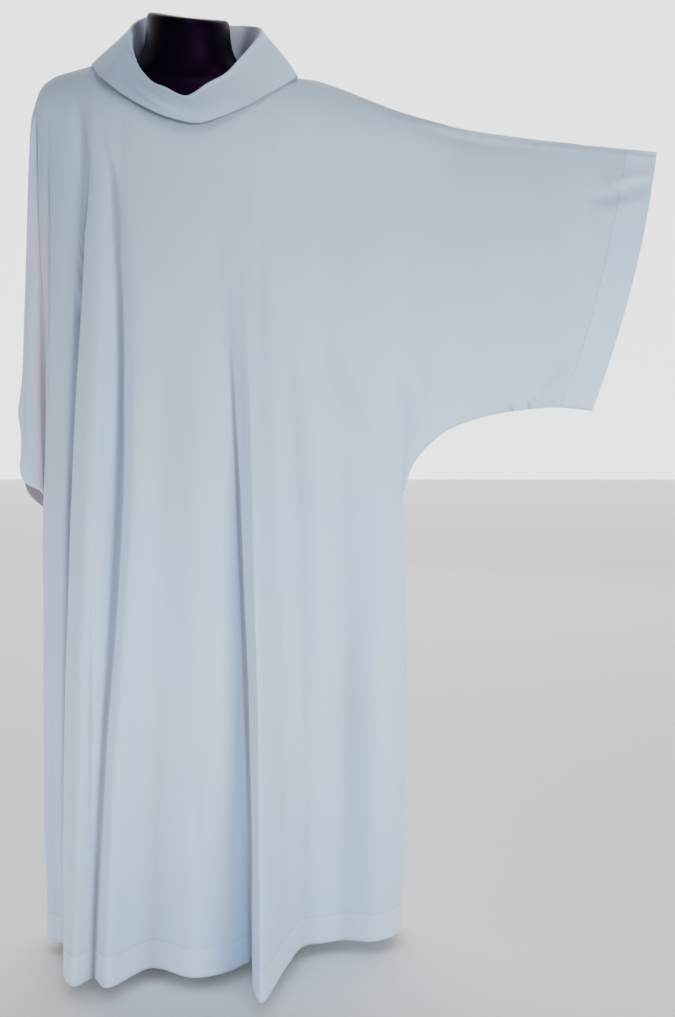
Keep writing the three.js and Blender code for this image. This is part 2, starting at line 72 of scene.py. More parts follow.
# Shoulder lines and the first hand of the held-out sleeve: x and z.
SHOULDER = [
    (-237, 1442), (-228.5, 1453), (-220, 1459.6), (-204, 1466), (-180, 1473.5),
    (-153, 1481), (-96, 1493), (96, 1480), (172, 1461), (192, 1459),
    (216, 1456), (237, 1447), (256, 1440), (296, 1424), (345, 1407),
]

# Lines down the front panel. Columns: name, x and y at the hem, low, mid, high and chest
# heights, and the x where the line leaves the top edge.
FRONT = [
    ("left side seam", (-242, 62), (-218, 62), (-212, 62), (-243, 6), (-243, -2), -237),
    ("left return", (-262, 38), (-246, 34), (-228, 30), (-240, -2), (-240, -9), -233),
    ("left panel edge", (-265, 10), (-259, 3), (-248, 0), (-233, -12), (-230, -22), -227),
    ("left panel face", (-246, -4), (-238, -20), (-222, -38), (-203, -50), (-197, -48), -206),
    ("first crease", (-227, -22), (-206, -52), (-182, -62), (-158, -75), (-160, -70), -175),
    ("first fold edge", (-208, -150), (-206, -110), (-187, -92), (-164, -89), (-151, -81), -152),
    ("first fold crown", (-188, -180), (-172, -152), (-150, -130), (-130, -110), (-126, -90), -128),
    ("second crease", (-162, -149), (-142, -132), (-114, -102), (-106, -94), (-110, -96), -112),
    ("second fold crown", (-136, -186), (-113, -160), (-84, -138), (-78, -112), (-80, -102), -86),
    ("left hollow", (-72, -112), (-50, -120), (-33, -124), (-31, -117), (-38, -108), -55),
    ("centre fold crown", (-1, -147), (7, -142), (14, -138), (12, -119), (5, -110), 5),
    ("run to third crease", (56, -124), (54, -143), (50, -133), (44, -117), (42, -108), 60),
    ("third crease", (93, -87), (89, -121), (79, -119), (68, -112), (68, -105), 83),
    ("big fold edge", (101, -185), (102, -163), (92, -139), (83, -115), (86, -103), 94),
    ("big fold crown", (116, -240), (114, -205), (106, -164), (101, -119), (103, -99), 110),
    ("big fold foot", (152, -105), (147, -92), (137, -90), (122, -106), (127, -92), 133),
    ("right hollow", (180, -22), (180, -50), (170, -66), (158, -90), (157, -80), 165),
    ("right band crown", (212, -8), (215, -38), (206, -64), (188, -82), (186, -66), 200),
    ("right trough", (246, 4), (252, -6), (250, -32), (230, -60), (216, -53), 236),
    ("right face", (297, -4), (305, -20), (305, -34), (288, -50), (266, -42), 275),
    ("right side", (338, 28), (343, 4), (338, -10), (335, -43), (320, -34), 312),
    ("right side seam", (348, 75), (352, 38), (344, 0), (356, -40), (352, -29), 345),
]

# The same down the back panel.
BACK = [
    ("left side seam", (-242, 62), (-218, 62), (-212, 62), (-240, 62), (-241, 28), -237),
    ("left return", (-250, 92), (-222, 88), (-208, 86), (-234, 78), (-237, 38), -233),
    ("left panel face", (-212, 150), (-200, 124), (-190, 110), (-206, 94), (-214, 58), -216),
    ("first crease", (-176, 128), (-168, 110), (-160, 102), (-162, 96), (-168, 78), -172),
    ("first fold crown", (-132, 194), (-128, 160), (-120, 134), (-118, 110), (-118, 92), -122),
    ("second crease", (-88, 126), (-86, 117), (-82, 110), (-78, 105), (-78, 99), -84),
    ("second fold crown", (-40, 180), (-42, 150), (-40, 130), (-38, 112), (-38, 104), -55),
    ("centre crease", (8, 130), (6, 122), (4, 116), (2, 109), (2, 105), 3),
    ("third fold crown", (55, 186), (52, 156), (46, 131), (42, 111), (42, 103), 58),
    ("third crease", (100, 118), (95, 111), (86, 106), (78, 103), (80, 97), 88),
    ("fourth fold crown", (138, 187), (132, 153), (124, 127), (116, 106), (117, 91), 122),
    ("fourth crease", (180, 100), (175, 94), (165, 89), (154, 90), (150, 80), 155),
    ("fifth fold crown", (222, 135), (218, 108), (208, 84), (192, 80), (186, 66), 195),
    ("fifth crease", (262, 85), (260, 62), (252, 48), (234, 62), (225, 53), 236),
    ("right face", (305, 100), (308, 64), (303, 40), (290, 54), (268, 44), 275),
    ("right side", (338, 102), (343, 62), (338, 10), (335, 45), (320, 36), 312),
    ("right side seam", (348, 75), (352, 38), (344, 0), (356, 40), (352, 29), 345),
]

# The held-out sleeve past the armhole: name, x and z on its top line and on its under seam,
# how far the front and the back stand off, and the bow of the line.
HELD_SLEEVE = [
    ("upper arm", (430, 1385), (363, 849), 37, 38, 0),
    ("elbow", (520, 1371), (410, 897), 33, 35, 2),
    ("forearm", (605, 1361), (480, 924), 29, 33, 4),
    ("wrist", (665, 1355), (565, 937), 26, 30, 6),
    ("cuff turn", (698, 1352), (603, 938), 24, 28, 8),
    ("cuff edge", (746, 1347), (652, 933), 22, 26, 10),
]

# The hanging sleeve's outer line, under seam and two cuff edges.
HANGING_OUTER = [
    (-237, 0, 1442), (-250, 4, 1405), (-257, 12, 1350), (-265, 25, 1271),
    (-278, 42, 1112), (-289, 55, 979), (-298, 60, 926),
]
HANGING_UNDER = [(-212, 62, 800), (-224, 65, 762), (-234, 69, 720), (-242, 74, 672)]
HANGING_CUFF_FRONT = [
    (-298, 60, 926), (-291, 42, 905), (-289, 26, 862), (-289, 18, 830), (-280, 13, 812),
    (-255, 16, 797), (-250, 34, 775), (-246, 54, 725), (-242, 74, 672),
]
HANGING_CUFF_BACK = [
    (-298, 60, 926), (-299, 84, 882), (-302, 104, 835), (-299, 111, 799), (-292, 112, 780),
    (-278, 110, 766), (-262, 104, 752), (-250, 94, 716), (-242, 74, 672),
]
HANGING_TURN = 0.89

# The collar: angle from the right through the front, its rim and its free edge.
COLLAR = [
    (0, (117, -5, 1532), (171, -8, 1465)),
    (25, (104, -28, 1511), (152, -46, 1447)),
    (45, (86, -48, 1488), (128, -72, 1431)),
    (65, (62, -68, 1461), (100, -95, 1412)),
    (80, (37, -83, 1446), (64, -108, 1396)),
    (95, (4, -93, 1426), (22, -115, 1383.5)),
    (110, (-30, -85, 1440), (-22, -113, 1392.5)),
    (125, (-50, -76, 1449), (-55, -110, 1406)),
    (140, (-71, -57, 1471), (-88, -99, 1424)),
    (155, (-84, -35, 1497), (-121, -78, 1448)),
    (180, (-93, 0, 1526), (-151, -14, 1481)),
    (210, (-90, 42, 1552), (-138, 50, 1486)),
    (235, (-66, 68, 1566), (-98, 92, 1488)),
    (270, (0, 82, 1562), (0, 112, 1482)),
    (300, (52, 76, 1553), (76, 102, 1474)),
    (325, (92, 55, 1549), (128, 75, 1470)),
    (345, (112, 22, 1542), (160, 30, 1470)),
]
COLLAR_CLOTH = 2.0
COLLAR_ROLL = 4

# The dress form: height, half width, depth to the front and to the back.
FORM = [
    (884, 96, 46, 46), (892, 118, 58, 58), (912, 130, 66, 66), (950, 134, 70, 70),
    (1010, 132, 71, 70), (1080, 138, 75, 72), (1150, 150, 82, 78), (1220, 164, 88, 84),
    (1280, 176, 90, 88), (1330, 190, 88, 90), (1370, 203, 84, 88), (1400, 211, 76, 84),
    (1425, 214, 68, 78), (1441, 208, 61, 74), (1452, 192, 55, 69), (1461, 163, 52, 67),
    (1470, 125, 52, 69), (1480, 93, 53, 67), (1492, 76, 54, 65), (1510, 68.5, 56, 64),
    (1535, 66.5, 56, 63), (1553, 66, 56, 62), (1557, 62, 52, 58),
]
FORM_LEAN = 0.05
FORM_LEAN_FROM = 1280
FORM_TAPER = 1.45
FORM_TAPER_FROM = 1435
# The cap of the neck slopes down to the front and to the right.
CAP_SLOPE, CAP_LEAN, CAP_FROM = 0.17, 0.055, 1500

# Creases pressed in or raised on the front: name, path as x and z, depth (minus
# goes in), width, and whether the bottom is soft or sharp. The deepest also get a thin shade:
# from what depth on, how far to the left of the crease, and its half width.
# The thin shade of the deepest creases is painted shade, a darker colour laid along them.
SHADED_DEPTH, SHADE_LEFT, SHADE_HALF = -12, 4, 3.2
FRONT_CREASES = [
    ("armhole edge",
     ((-218, 1405), (-223, 1310), (-228, 1180), (-232, 1040), (-236, 900)), -5, 5, "sharp"),
    ("wedge above first crease",
     ((-160, 1425), (-160, 1370), (-162, 1300), (-166, 1225)), -8, 12, "soft"),
    ("first crease line",
     ((-150, 1365), (-158, 1285), (-166, 1190), (-178, 1050), (-191, 890), (-202, 700),
      (-212, 500), (-220, 300), (-225, 120)), -13, 4, "soft"),
    ("second crease, start",
     ((-126, 1370), (-114, 1320), (-107, 1260), (-104, 1180)), -5, 9, "soft"),
    ("second crease line",
     ((-116, 1330), (-108, 1215), (-104, 1080), (-107, 900), (-113, 750), (-124, 600),
      (-138, 420), (-150, 240), (-158, 120)), -7, 6.5, "soft"),
    ("inside first fold",
     ((-146, 960), (-150, 820), (-154, 660), (-158, 420), (-162, 200)), -4, 5, "sharp"),
    ("third crease line",
     ((68, 1050), (71, 990), (76, 880), (82, 700), (88, 500), (93, 300), (96, 120)), -6, 3.6, "soft"),
    ("hollow in the big fold",
     ((122, 1260), (124, 1100), (125, 950), (128, 780), (133, 560)), -5, 16, "soft"),
    ("under the held arm", ((196, 1090), (236, 1000), (290, 900), (318, 810)), -6, 26, "soft"),
    ("above it, a light roll", ((170, 1060), (205, 960), (250, 860)), 3, 24, "soft"),
    ("side sway", ((262, 640), (254, 480), (250, 330), (246, 200)), -5, 20, "soft"),
    ("side sway roll", ((205, 850), (212, 640), (208, 400)), 4, 18, "soft"),
    ("centre left, low", ((8, 430), (14, 300), (18, 180)), -4, 16, "soft"),
    ("centre right, low", ((35, 700), (42, 520), (44, 330)), 2, 14, "soft"),
    ("chest, from the collar left", ((-92, 1420), (-96, 1350), (-100, 1280)), -2, 12, "soft"),
    ("chest, from the collar right", ((118, 1400), (112, 1320), (106, 1230)), 2.5, 14, "soft"),
    ("right shoulder to arm", ((196, 1436), (250, 1415), (330, 1385)), -2, 12, "soft"),
    ("armhole slack", ((330, 1010), (346, 930), (352, 860)), -5, 16, "soft"),
    ("armhole slack, second", ((372, 1040), (378, 960), (376, 900)), -3.5, 13, "soft"),
    ("top seam, dip along the arm",
     ((330, 1392), (400, 1374), (470, 1362), (540, 1352)), -3, 10, "soft"),
    ("cuff top pull", ((628, 1274), (668, 1279), (706, 1287), (744, 1299)), -7, 8, "soft"),
    ("cuff top pull, ridge", ((650, 1254), (690, 1262), (738, 1276)), 4, 8, "soft"),
    ("cuff top pull, upper ridge", ((668, 1300), (700, 1306), (742, 1316)), 3, 7, "soft"),
    ("sleeve sway", ((480, 1330), (520, 1200), (540, 1060)), -2.5, 30, "soft"),
    ("sleeve sway, second", ((600, 1300), (606, 1180), (590, 1060)), 2, 26, "soft"),
    ("pucker by the under seam, 1", ((536, 932), (547, 942), (561, 955)), -4, 4, "sharp"),
    ("pucker by the under seam, 2", ((552, 934), (566, 945), (584, 960)), -4, 4, "sharp"),
    ("pucker by the under seam, 3", ((574, 934), (585, 943), (597, 953)), -4, 4, "sharp"),
    ("pucker by the under seam, 4", ((508, 932), (519, 941), (530, 950)), -3, 4, "soft"),
    ("slack above the puckers", ((560, 960), (584, 985), (602, 1016)), -3, 8, "soft"),
    ("hanging sleeve soft", ((-252, 1330), (-256, 1200), (-258, 1080)), -2, 7, "soft"),
]

BACK_CREASES = [
    ("centre yoke", ((0, 1430), (2, 1330), (4, 1200)), -2.5, 14, "soft"),
    ("left yoke", ((-120, 1420), (-110, 1340), (-104, 1240)), 2.5, 14, "soft"),
    ("right yoke", ((130, 1410), (122, 1330), (118, 1240)), 2.5, 14, "soft"),
    ("left shoulder blade", ((-190, 1400), (-176, 1300), (-166, 1180)), -4, 14, "soft"),
    ("right shoulder blade", ((190, 1400), (180, 1300), (166, 1180)), -4, 14, "soft"),
    ("under the held arm", ((200, 1100), (240, 1000), (296, 890), (322, 810)), -7, 26, "soft"),
    ("above it, a light roll", ((176, 1060), (212, 960), (256, 860)), 3, 24, "soft"),
    ("left low", ((-60, 520), (-64, 360), (-66, 200)), -4, 14, "soft"),
    ("right low", ((76, 560), (78, 400), (80, 220)), -4, 14, "soft"),
    ("side low", ((240, 600), (246, 420), (248, 240)), -4, 18, "soft"),
    ("armhole slack", ((332, 1010), (348, 930), (354, 860)), -5, 16, "soft"),
    ("sleeve sway", ((470, 1320), (505, 1190), (520, 1060)), -3, 28, "soft"),
    ("sleeve sway, second", ((610, 1300), (600, 1180), (575, 1060)), 2.5, 26, "soft"),
    ("cuff pull", ((640, 1240), (690, 1262), (735, 1272)), -2.5, 9, "soft"),
]


# ---------------------------------------------------------------- curves
def curve(t, p, u):
    """Smooth curve through the values p at the knots t, read at u."""
    t = np.asarray(t, float)
    p = np.asarray(p, float)
    u = np.atleast_1d(np.asarray(u, float))
    d = np.diff(t)
    s = np.diff(p, axis=0) / d[:, None]
    m = np.empty_like(p)
    m[0], m[-1] = s[0], s[-1]
    if len(t) > 2:
        m[1:-1] = (s[:-1] * d[1:, None] + s[1:] * d[:-1, None]) / (d[:-1] + d[1:])[:, None]
    i = np.clip(np.searchsorted(t, u, side="left") - 1, 0, len(t) - 2)
    h = d[i][:, None]
    x = ((u - t[i]) / d[i])[:, None]
    x2, x3 = x * x, x * x * x
    return (
        (2 * x3 - 3 * x2 + 1) * p[i]
        + (x3 - 2 * x2 + x) * h * m[i]
        + (3 * x2 - 2 * x3) * p[i + 1]
        + (x3 - x2) * h * m[i + 1]
    )


def knots(points):
    gaps = np.linalg.norm(np.diff(np.asarray(points, float), axis=0), axis=1)
    return np.concatenate([[0], np.cumsum(np.sqrt(np.maximum(gaps, 0.01)))])


def along(points, shares):
    t = knots(points)
    return curve(t, points, np.asarray(shares) * t[-1])


def top_edge(x, side):
    if abs(x) < NECK_HALF:
        c = x / NECK_HALF
        s = sqrt(1 - c * c)
        lift = -NECK_DROP if side > 0 else NECK_RISE
        y = -NECK_FRONT * s if side > 0 else NECK_BACK * s
        return (x, y, NECK_Z - NECK_TILT * c + lift * s * s)
    xs = [r[0] for r in SHOULDER]
    zs = [[r[1]] for r in SHOULDER]
    return (x, 0, curve(xs, zs, x)[0, 0])


# ---------------------------------------------------------------- panels
YOKE_ROWS = 28
CHEST_ROWS = 44
SKIRT_ROWS = 50
HELD_CUFF_COLUMNS = 10
STITCH_STEPS = (-7, -4, -2.4, -1.2, 0, 1.2, 2.4, 4, 7)
TURN = HEM + HEM_DEPTH


def heights():
    upper = list(np.linspace(CHEST, MID, CHEST_ROWS + 1)[1:])
    lower = list(np.linspace(MID, TURN + 12, SKIRT_ROWS + 1)[1:])
    turn = [TURN - s for s in STITCH_STEPS]
    band = list(np.linspace(TURN - 12, HEM, 7))
    return np.array(upper + lower + turn + band)


DROPS = heights()
ARMPIT_ROW = YOKE_ROWS + CHEST_ROWS
TURN_ROW = ARMPIT_ROW + SKIRT_ROWS + 5

# Where the cloth turns tightest: the line that a gap starts from, its fine columns, and
# whether they crowd to its end (over 1) or its start (under 1).
CLOSE_COLUMNS = {
    "left side seam": (4, 1), "left return": (5, 1), "left panel edge": (8, 1),
    "left panel face": (18, 1.6), "first crease": (12, 1), "first fold edge": (9, 1),
    "first fold crown": (14, 1.4), "second crease": (12, 0.8), "run to third crease": (15, 1.5),
    "third crease": (14, 1), "big fold edge": (9, 1), "right side": (6, 1),
}


def line_points(row, side):
    """One line of a table as points from the top edge to the hem."""
    name, hem, low, mid, high, chest, top_x = row
    top = np.array(top_edge(top_x, side))
    end = np.array([chest[0], chest[1], CHEST])
    dip = radians(12 + 52 * abs(top[1]) / NECK_FRONT)
    reach = 0.42 * hypot(top[1] - end[1], top[2] - end[2])
    a = np.array([top[0] * 0.8 + end[0] * 0.2, top[1] - side * reach * cos(dip),
                  top[2] - reach * sin(dip)])
    b = np.array([top[0] * 0.2 + end[0] * 0.8, end[1], end[2] + reach])
    u = np.linspace(0, 1, YOKE_ROWS + 1)[:, None]
    v = 1 - u
    yoke = v**3 * top + 3 * v * v * u * a + 3 * v * u * u * b + u**3 * end
    t = np.array([-CHEST, -HIGH, -MID, -LOW, -HEM], float)
    p = np.array([chest, high, mid, low, hem], float)
    if name.endswith("seam"):
        above = DROPS >= MID
        xy = np.vstack([curve(t[:3], p[:3], -DROPS[above]), curve(t[2:], p[2:], -DROPS[~above])])
    else:
        xy = curve(t, p, -DROPS)
    return np.vstack([yoke, np.column_stack([xy, DROPS])])


def gap_steps(j, lines, body):
    """Where the fine columns stand between line j and the next, from 0 to 1."""
    if j >= body and lines[j] == "wrist":
        return [0, 0.3, 0.6, 0.8, 0.88, 0.93, 0.965, 0.985]
    if j >= body and lines[j] == "cuff turn":
        return [0, 0.012, 0.03, 0.06, 0.12, 0.25, 0.45, 0.7, 0.9]
    if j >= body - 1:
        return list(np.linspace(0, 1, 13)[:-1])
    count, crowd = CLOSE_COLUMNS.get(lines[j], (8, 1))
    even = np.linspace(0, 1, count + 1)[:-1]
    return list(1 - (1 - even) ** crowd) if crowd > 1 else list(even ** (1 / crowd))


def panel_grid(table, side):
    """The whole mid surface of a panel: rows by columns, empty below the sleeves."""
    names = [r[0] for r in table] + [r[0] for r in HELD_SLEEVE]
    lines = [line_points(r, side) for r in table]
    body = len(lines)
    arm = lines[-1][: ARMPIT_ROW + 1]
    share = (arm[0, 2] - arm[:, 2]) / (arm[0, 2] - arm[-1, 2])
    swell = np.abs(np.sin(pi * share)) ** 0.8
    for name, top, under, front, back, bow in HELD_SLEEVE:
        x = top[0] + (under[0] - top[0]) * share + bow * swell
        z = top[1] + (under[1] - top[1]) * share
        y = -side * (front if side > 0 else back) * swell
        lines.append(np.column_stack([x, y, z]))
    place = []
    for j in range(len(lines) - 1):
        place += [(j, u) for u in gap_steps(j, names, body)]
    place.append((len(lines) - 1, 0))
    body_columns = [k for k, (j, u) in enumerate(place) if j < body - 1 or (j == body - 1 and u == 0)]
    rows = len(lines[0])
    grid = np.full((rows, len(place), 3), np.nan)
    for r in range(rows):
        count = len(lines) if r <= ARMPIT_ROW else body
        points = np.array([l[r] for l in lines[:count]])
        t = knots(points)
        keep = range(len(place)) if r <= ARMPIT_ROW else body_columns
        spots = [place[k] for k in keep]
        u = [t[j] + (t[min(j + 1, count - 1)] - t[j]) * part for j, part in spots]
        grid[r, list(keep)] = curve(t, points, u)
        if r == 0:
            for k in keep:
                if abs(grid[0, k, 0]) < NECK_HALF:
                    grid[0, k] = top_edge(grid[0, k, 0], side)
    hanging = hanging_sleeve(grid[: ARMPIT_ROW + 1, 0], side)
    added = len(HANGING_STEPS)
    full = np.full((rows, added, 3), np.nan)
    full[: ARMPIT_ROW + 1] = hanging
    return np.concatenate([full, grid], axis=1), added, body_columns[-1] + added


def hanging_steps():
    near = [HANGING_TURN + s for s in (-0.03, -0.016, -0.008, 0, 0.008, 0.016, 0.03)]
    steps = list(np.linspace(0, HANGING_TURN - 0.05, 26)[1:]) + near + [0.94, 0.97, 1.0]
    return np.array(steps[::-1])


HANGING_STEPS = hanging_steps()


def hanging_sleeve(arm, side):
    """The patch from the left armhole line out to the hanging cuff."""
    s = HANGING_STEPS[None, :, None]
    f = (np.arange(ARMPIT_ROW + 1) / ARMPIT_ROW)[:, None, None]
    edge = HANGING_CUFF_FRONT if side > 0 else HANGING_CUFF_BACK
    cuff = along(edge, f[:, 0, 0])[:, None, :]
    outer = along(HANGING_OUTER, HANGING_STEPS)[None]
    under = along(HANGING_UNDER, HANGING_STEPS)[None]
    straight_outer = arm[0] + (np.array(edge[0]) - arm[0]) * s
    straight_under = arm[-1] + (np.array(edge[-1]) - arm[-1]) * s
    flat = arm[:, None, :] * (1 - s) + cuff * s
    return flat + (1 - f) * (outer - straight_outer) + f * (under - straight_under)


def calm(grid, first, last):
    """Evens out small ripples across the chest, right of the middle, and leaves the folds below."""
    for r in range(1, len(grid)):
        p = grid[r, first : last + 1]
        x, z = p[:, 0], p[:, 2]
        share = np.clip((z - 930) / 220, 0, 1) * np.clip((x - 5) / 60, 0, 1)
        share = share * np.clip((310 - x) / 50, 0, 1)
        if not share.any():
            continue
        step = np.linalg.norm(np.diff(p, axis=0), axis=1)
        run = np.concatenate([[0], np.cumsum(step)])
        wide = np.concatenate([[step[0]], (step[1:] + step[:-1]) / 2, [step[-1]]])
        weight = np.exp(-(((run[:, None] - run[None]) / 20) ** 2)) * wide
        even = weight @ p[:, 1] / weight.sum(axis=1)
        p[:, 1] += (even - p[:, 1]) * share


def grid_normals(grid, side):
    """Directions out of the sheet at each point of the grid."""
    a, b, c, d = grid[:-1, :-1], grid[1:, :-1], grid[1:, 1:], grid[:-1, 1:]
    n = np.cross(c - a, d - b) * side
    size = np.linalg.norm(n, axis=2, keepdims=True)
    n = np.nan_to_num(n / np.where(size > 0, size, 1))
    total = np.zeros_like(grid)
    for dr in (0, 1):
        for dc in (0, 1):
            total[dr : dr + n.shape[0], dc : dc + n.shape[1]] += n
    size = np.linalg.norm(total, axis=2, keepdims=True)
    return total / np.where(size > 0, size, 1)


def path_share(points, path):
    """Distance of each point from a path, and how far along the path it lies."""
    path = np.asarray(path, float)
    lengths = np.linalg.norm(np.diff(path, axis=0), axis=1)
    total = lengths.sum()
    best = np.full(len(points), 1e9)
    share = np.zeros(len(points))
    run = 0
    for k, length in enumerate(lengths):
        step = (path[k + 1] - path[k]) / length
        t = np.clip((points - path[k]) @ step, 0, length)
        gap = np.linalg.norm(points - path[k] - t[:, None] * step, axis=1)
        near = gap < best
        best[near] = gap[near]
        share[near] = (run + t[near]) / total
        run += length
    return best, share


def crease_share(points, path):
    """Distance of each point from a crease, and its strength there: full in the middle."""
    gap, share = path_share(points, along(path, np.linspace(0, 1, 12)))
    return gap, np.clip(np.sin(pi * np.clip(share, 0, 1)), 0, 1)


def press_creases(grid, normals, creases):
    flat = grid[..., [0, 2]].reshape(-1, 2)
    known = ~np.isnan(flat[:, 0])
    lift = np.zeros(len(flat))
    for name, path, depth, width, shape in creases:
        gap, full = crease_share(flat[known], path)
        form = np.exp(-((gap / width) ** 2)) if shape == "soft" else np.exp(-gap / width)
        lift[known] += depth * full**0.7 * form
    return grid + normals * lift.reshape(grid.shape[:2])[..., None]


def painted_crease_shade(grid, creases):
    """A thin painted shade along the deepest creases, where the cloth meets itself."""
    flat = grid[..., [0, 2]].reshape(-1, 2)
    known = ~np.isnan(flat[:, 0])
    shade = np.zeros(len(flat))
    for name, path, depth, width, shape in creases:
        if depth > SHADED_DEPTH:
            continue
        gap, full = crease_share(flat[known] + (SHADE_LEFT, 0), path)
        shade[known] = np.exp(-((gap / SHADE_HALF) ** 2)) * full**0.5
    return shade.reshape(grid.shape[:2])


def undulate(grid, normals, seed):
    """A slight unevenness, a millimetre or so, that keeps broad faces from being too even."""
    x, y, z = grid[..., 0], grid[..., 1], grid[..., 2]
    lift = (
        0.9 * np.sin(x / 31 + seed) * np.sin(z / 67 + 1.3 * seed)
        + 0.6 * np.sin(x / 17 + z / 140 + 2.1 * seed)
        + 0.5 * np.sin(z / 43 - x / 90 + 0.7 * seed) * np.sin(x / 53)
    )
    return grid + normals * lift[..., None]


def seam_roll(grid, normals, hanging, last_body):
    """The seam allowance rolls the cloth a little along the top and under seams, with small puckers."""
    rows, columns = grid.shape[:2]
    out = grid.copy()
    for k in range(columns):
        for top in (True, False):
            sleeve = k < hanging or k > last_body
            if not top and not sleeve:
                continue
            if top and abs(grid[0, k, 0]) < NECK_HALF and not sleeve:
                continue
            edge = 0 if top else ARMPIT_ROW
            span = range(0, 26) if top else range(ARMPIT_ROW - 25, ARMPIT_ROW + 1)
            for r in span:
                if np.isnan(grid[r, k, 0]):
                    continue
                gap = np.linalg.norm(grid[r, k] - grid[edge, k])
                pucker = 0.5 + 0.5 * sin(grid[r, k, 0] / 5.3 + 2.4 * sin(grid[r, k, 0] / 23))
                lift = 1.3 * np.exp(-(((gap - 9) / 5) ** 2))
                drawn = (0.9 if top else 1.5) * pucker * np.exp(-(((gap - 5) / 9) ** 2))
                lift -= drawn * min(1, gap / 3)
                out[r, k] += normals[r, k] * lift
    return out


def mesh_object(name, points, faces, uvs=None):
    mesh = bpy.data.meshes.new(name)
    mesh.from_pydata([tuple(p) for p in points], [], faces)
    mesh.update()
    if uvs is not None:
        layer = mesh.uv_layers.new(name="cloth")
        flat = np.array([l.vertex_index for l in mesh.loops])
        layer.data.foreach_set("uv", np.asarray(uvs)[flat].ravel())
    for polygon in mesh.polygons:
        polygon.use_smooth = True
    piece = bpy.data.objects.new(name, mesh)
    bpy.context.scene.collection.objects.link(piece)
    return piece


def hollows(grid, normals, reach):
    """How much each point lies in a crease (up to 1) or on a crown (down to -1)."""
    rows, columns = grid.shape[:2]
    depth = np.zeros((rows, columns))
    for r in range(rows):
        known = np.flatnonzero(~np.isnan(grid[r, :, 0]))
        p = grid[r, known]
        run = np.concatenate([[0], np.cumsum(np.linalg.norm(np.diff(p, axis=0), axis=1))])
        ahead = np.column_stack([np.interp(run + reach, run, p[:, k]) for k in range(3)])
        behind = np.column_stack([np.interp(run - reach, run, p[:, k]) for k in range(3)])
        inner = (run > reach) & (run < run[-1] - reach)
        sunk = (((ahead + behind) / 2 - p) * normals[r, known]).sum(axis=1)
        depth[r, known] = np.where(inner, sunk, 0)
    return np.clip(depth / (0.45 * reach), -1, 1)


def grid_wall(name, grid, normals, thick, outward, faces_side, doubled_and_painted_light, hanging, line):
    """Closes a grid of points into a wall and measures its cloth for the weave."""
    rows, columns = grid.shape[:2]
    known = ~np.isnan(grid[..., 0])
    index = np.full((rows, columns), -1)
    index[known] = np.arange(known.sum())
    mid = grid[known]
    n = normals[known]
    t = thick[known][:, None]
    o = outward[known][:, None]
    outer = mid + n * (CLOTH / 2 + o)
    inner = mid + n * (CLOTH / 2 - t)
    count = len(mid)
    a, b, c, d = index[:-1, :-1], index[1:, :-1], index[1:, 1:], index[:-1, 1:]
    full = (a >= 0) & (b >= 0) & (c >= 0) & (d >= 0)
    quads = np.stack([a[full], b[full], c[full], d[full]], axis=1)
    if faces_side < 0:
        quads = quads[:, ::-1]
    faces = [tuple(int(v) for v in q) for q in quads]
    edges = {}
    for q in faces:
        for k in range(4):
            edges[(q[k], q[(k + 1) % 4])] = True
    back = [tuple(v + count for v in reversed(q)) for q in faces]
    rim = [(y, x, x + count, y + count) for (x, y) in edges if (y, x) not in edges]
    across = np.zeros((rows, columns))
    down = np.zeros((rows, columns))
    filled = np.where(known[..., None], grid, 0)
    step = np.linalg.norm(np.diff(filled, axis=1), axis=2)
    across[:, 1:] = np.cumsum(np.where(known[:, 1:] & known[:, :-1], step, 0), axis=1)
    step = np.linalg.norm(np.diff(filled, axis=0), axis=2)
    down[1:] = np.cumsum(np.where(known[1:] & known[:-1], step, 0), axis=0)
    even = across.mean(axis=0, where=known)
    uv = np.stack([np.broadcast_to(even, across.shape), -down], axis=2)[known] * MM
    points = np.vstack([outer, inner]) + np.array([0, -FORWARD, 0])
    piece = mesh_object(name, points * MM, faces + back + rim, np.vstack([uv, uv]))
    paint_tones(piece, panel_tones(grid, normals, known, doubled_and_painted_light, hanging, line))
    return piece


def paint_tones(piece, tones):
    layer = piece.data.attributes.new("tones", "FLOAT_COLOR", "POINT")
    layer.data.foreach_set("color", np.asarray(tones, float).ravel())


def panel_tones(grid, normals, known, doubled_and_painted_light, hanging, line):
    """Painted light and shade laid on a panel, outside then inside: red where the cloth lies double,
    and painted light in a low hollow; green, painted shade in the dark; blue, a pale painted shade
    beside the body's edge; alpha, painted shade in the creases."""
    count = known.sum()
    tones = np.zeros((2 * count, 4))
    tones[:, 0] = np.tile(doubled_and_painted_light[known], 2)
    # Painted shade in the creases: the deeper a point lies in a hollow, the darker its colour.
    crease = np.clip(hollows(grid, normals, 6), 0, 1)
    # Painted shade, dark, inside the hanging sleeve; a soft pale painted shade where it passes behind
    # the body's edge, and on the body's return there.
    k = np.arange(grid.shape[1])
    sleeve = np.broadcast_to(k < hanging, known.shape)
    tones[count:, 1] = 0.7 * sleeve[known]
    z = np.where(known, grid[..., 2], 0)
    beside = np.where(known, -245 - grid[..., 0] - (1150 - z) / 70, 99)
    gap = np.where(sleeve, np.exp(-((np.maximum(beside, 0) / 15) ** 2)), k < hanging + 10)
    gap = gap * np.clip((1330 - z) / 150, 0, 1) * np.clip((z - 740) / 60, 0, 1)
    tones[:, 2] = np.concatenate([gap[known], np.maximum(gap, sleeve)[known]])
    # A thin painted shadow line where the hanging sleeve passes behind the body's edge, added to the
    # painted crease shade.
    crease = np.maximum(crease, np.where(sleeve, 0.3 * np.exp(-((beside / 3) ** 2)), line))
    tones[:, 3] = np.tile(crease[known], 2)
    return tones


def seam_off(side, normal):
    """How far an edge stands off its seam, a hair apart from the other panel's."""
    return side * (SEAM_GAP / 2 + CLOTH / 2 * min(1, abs(normal[1]) + 0.15))


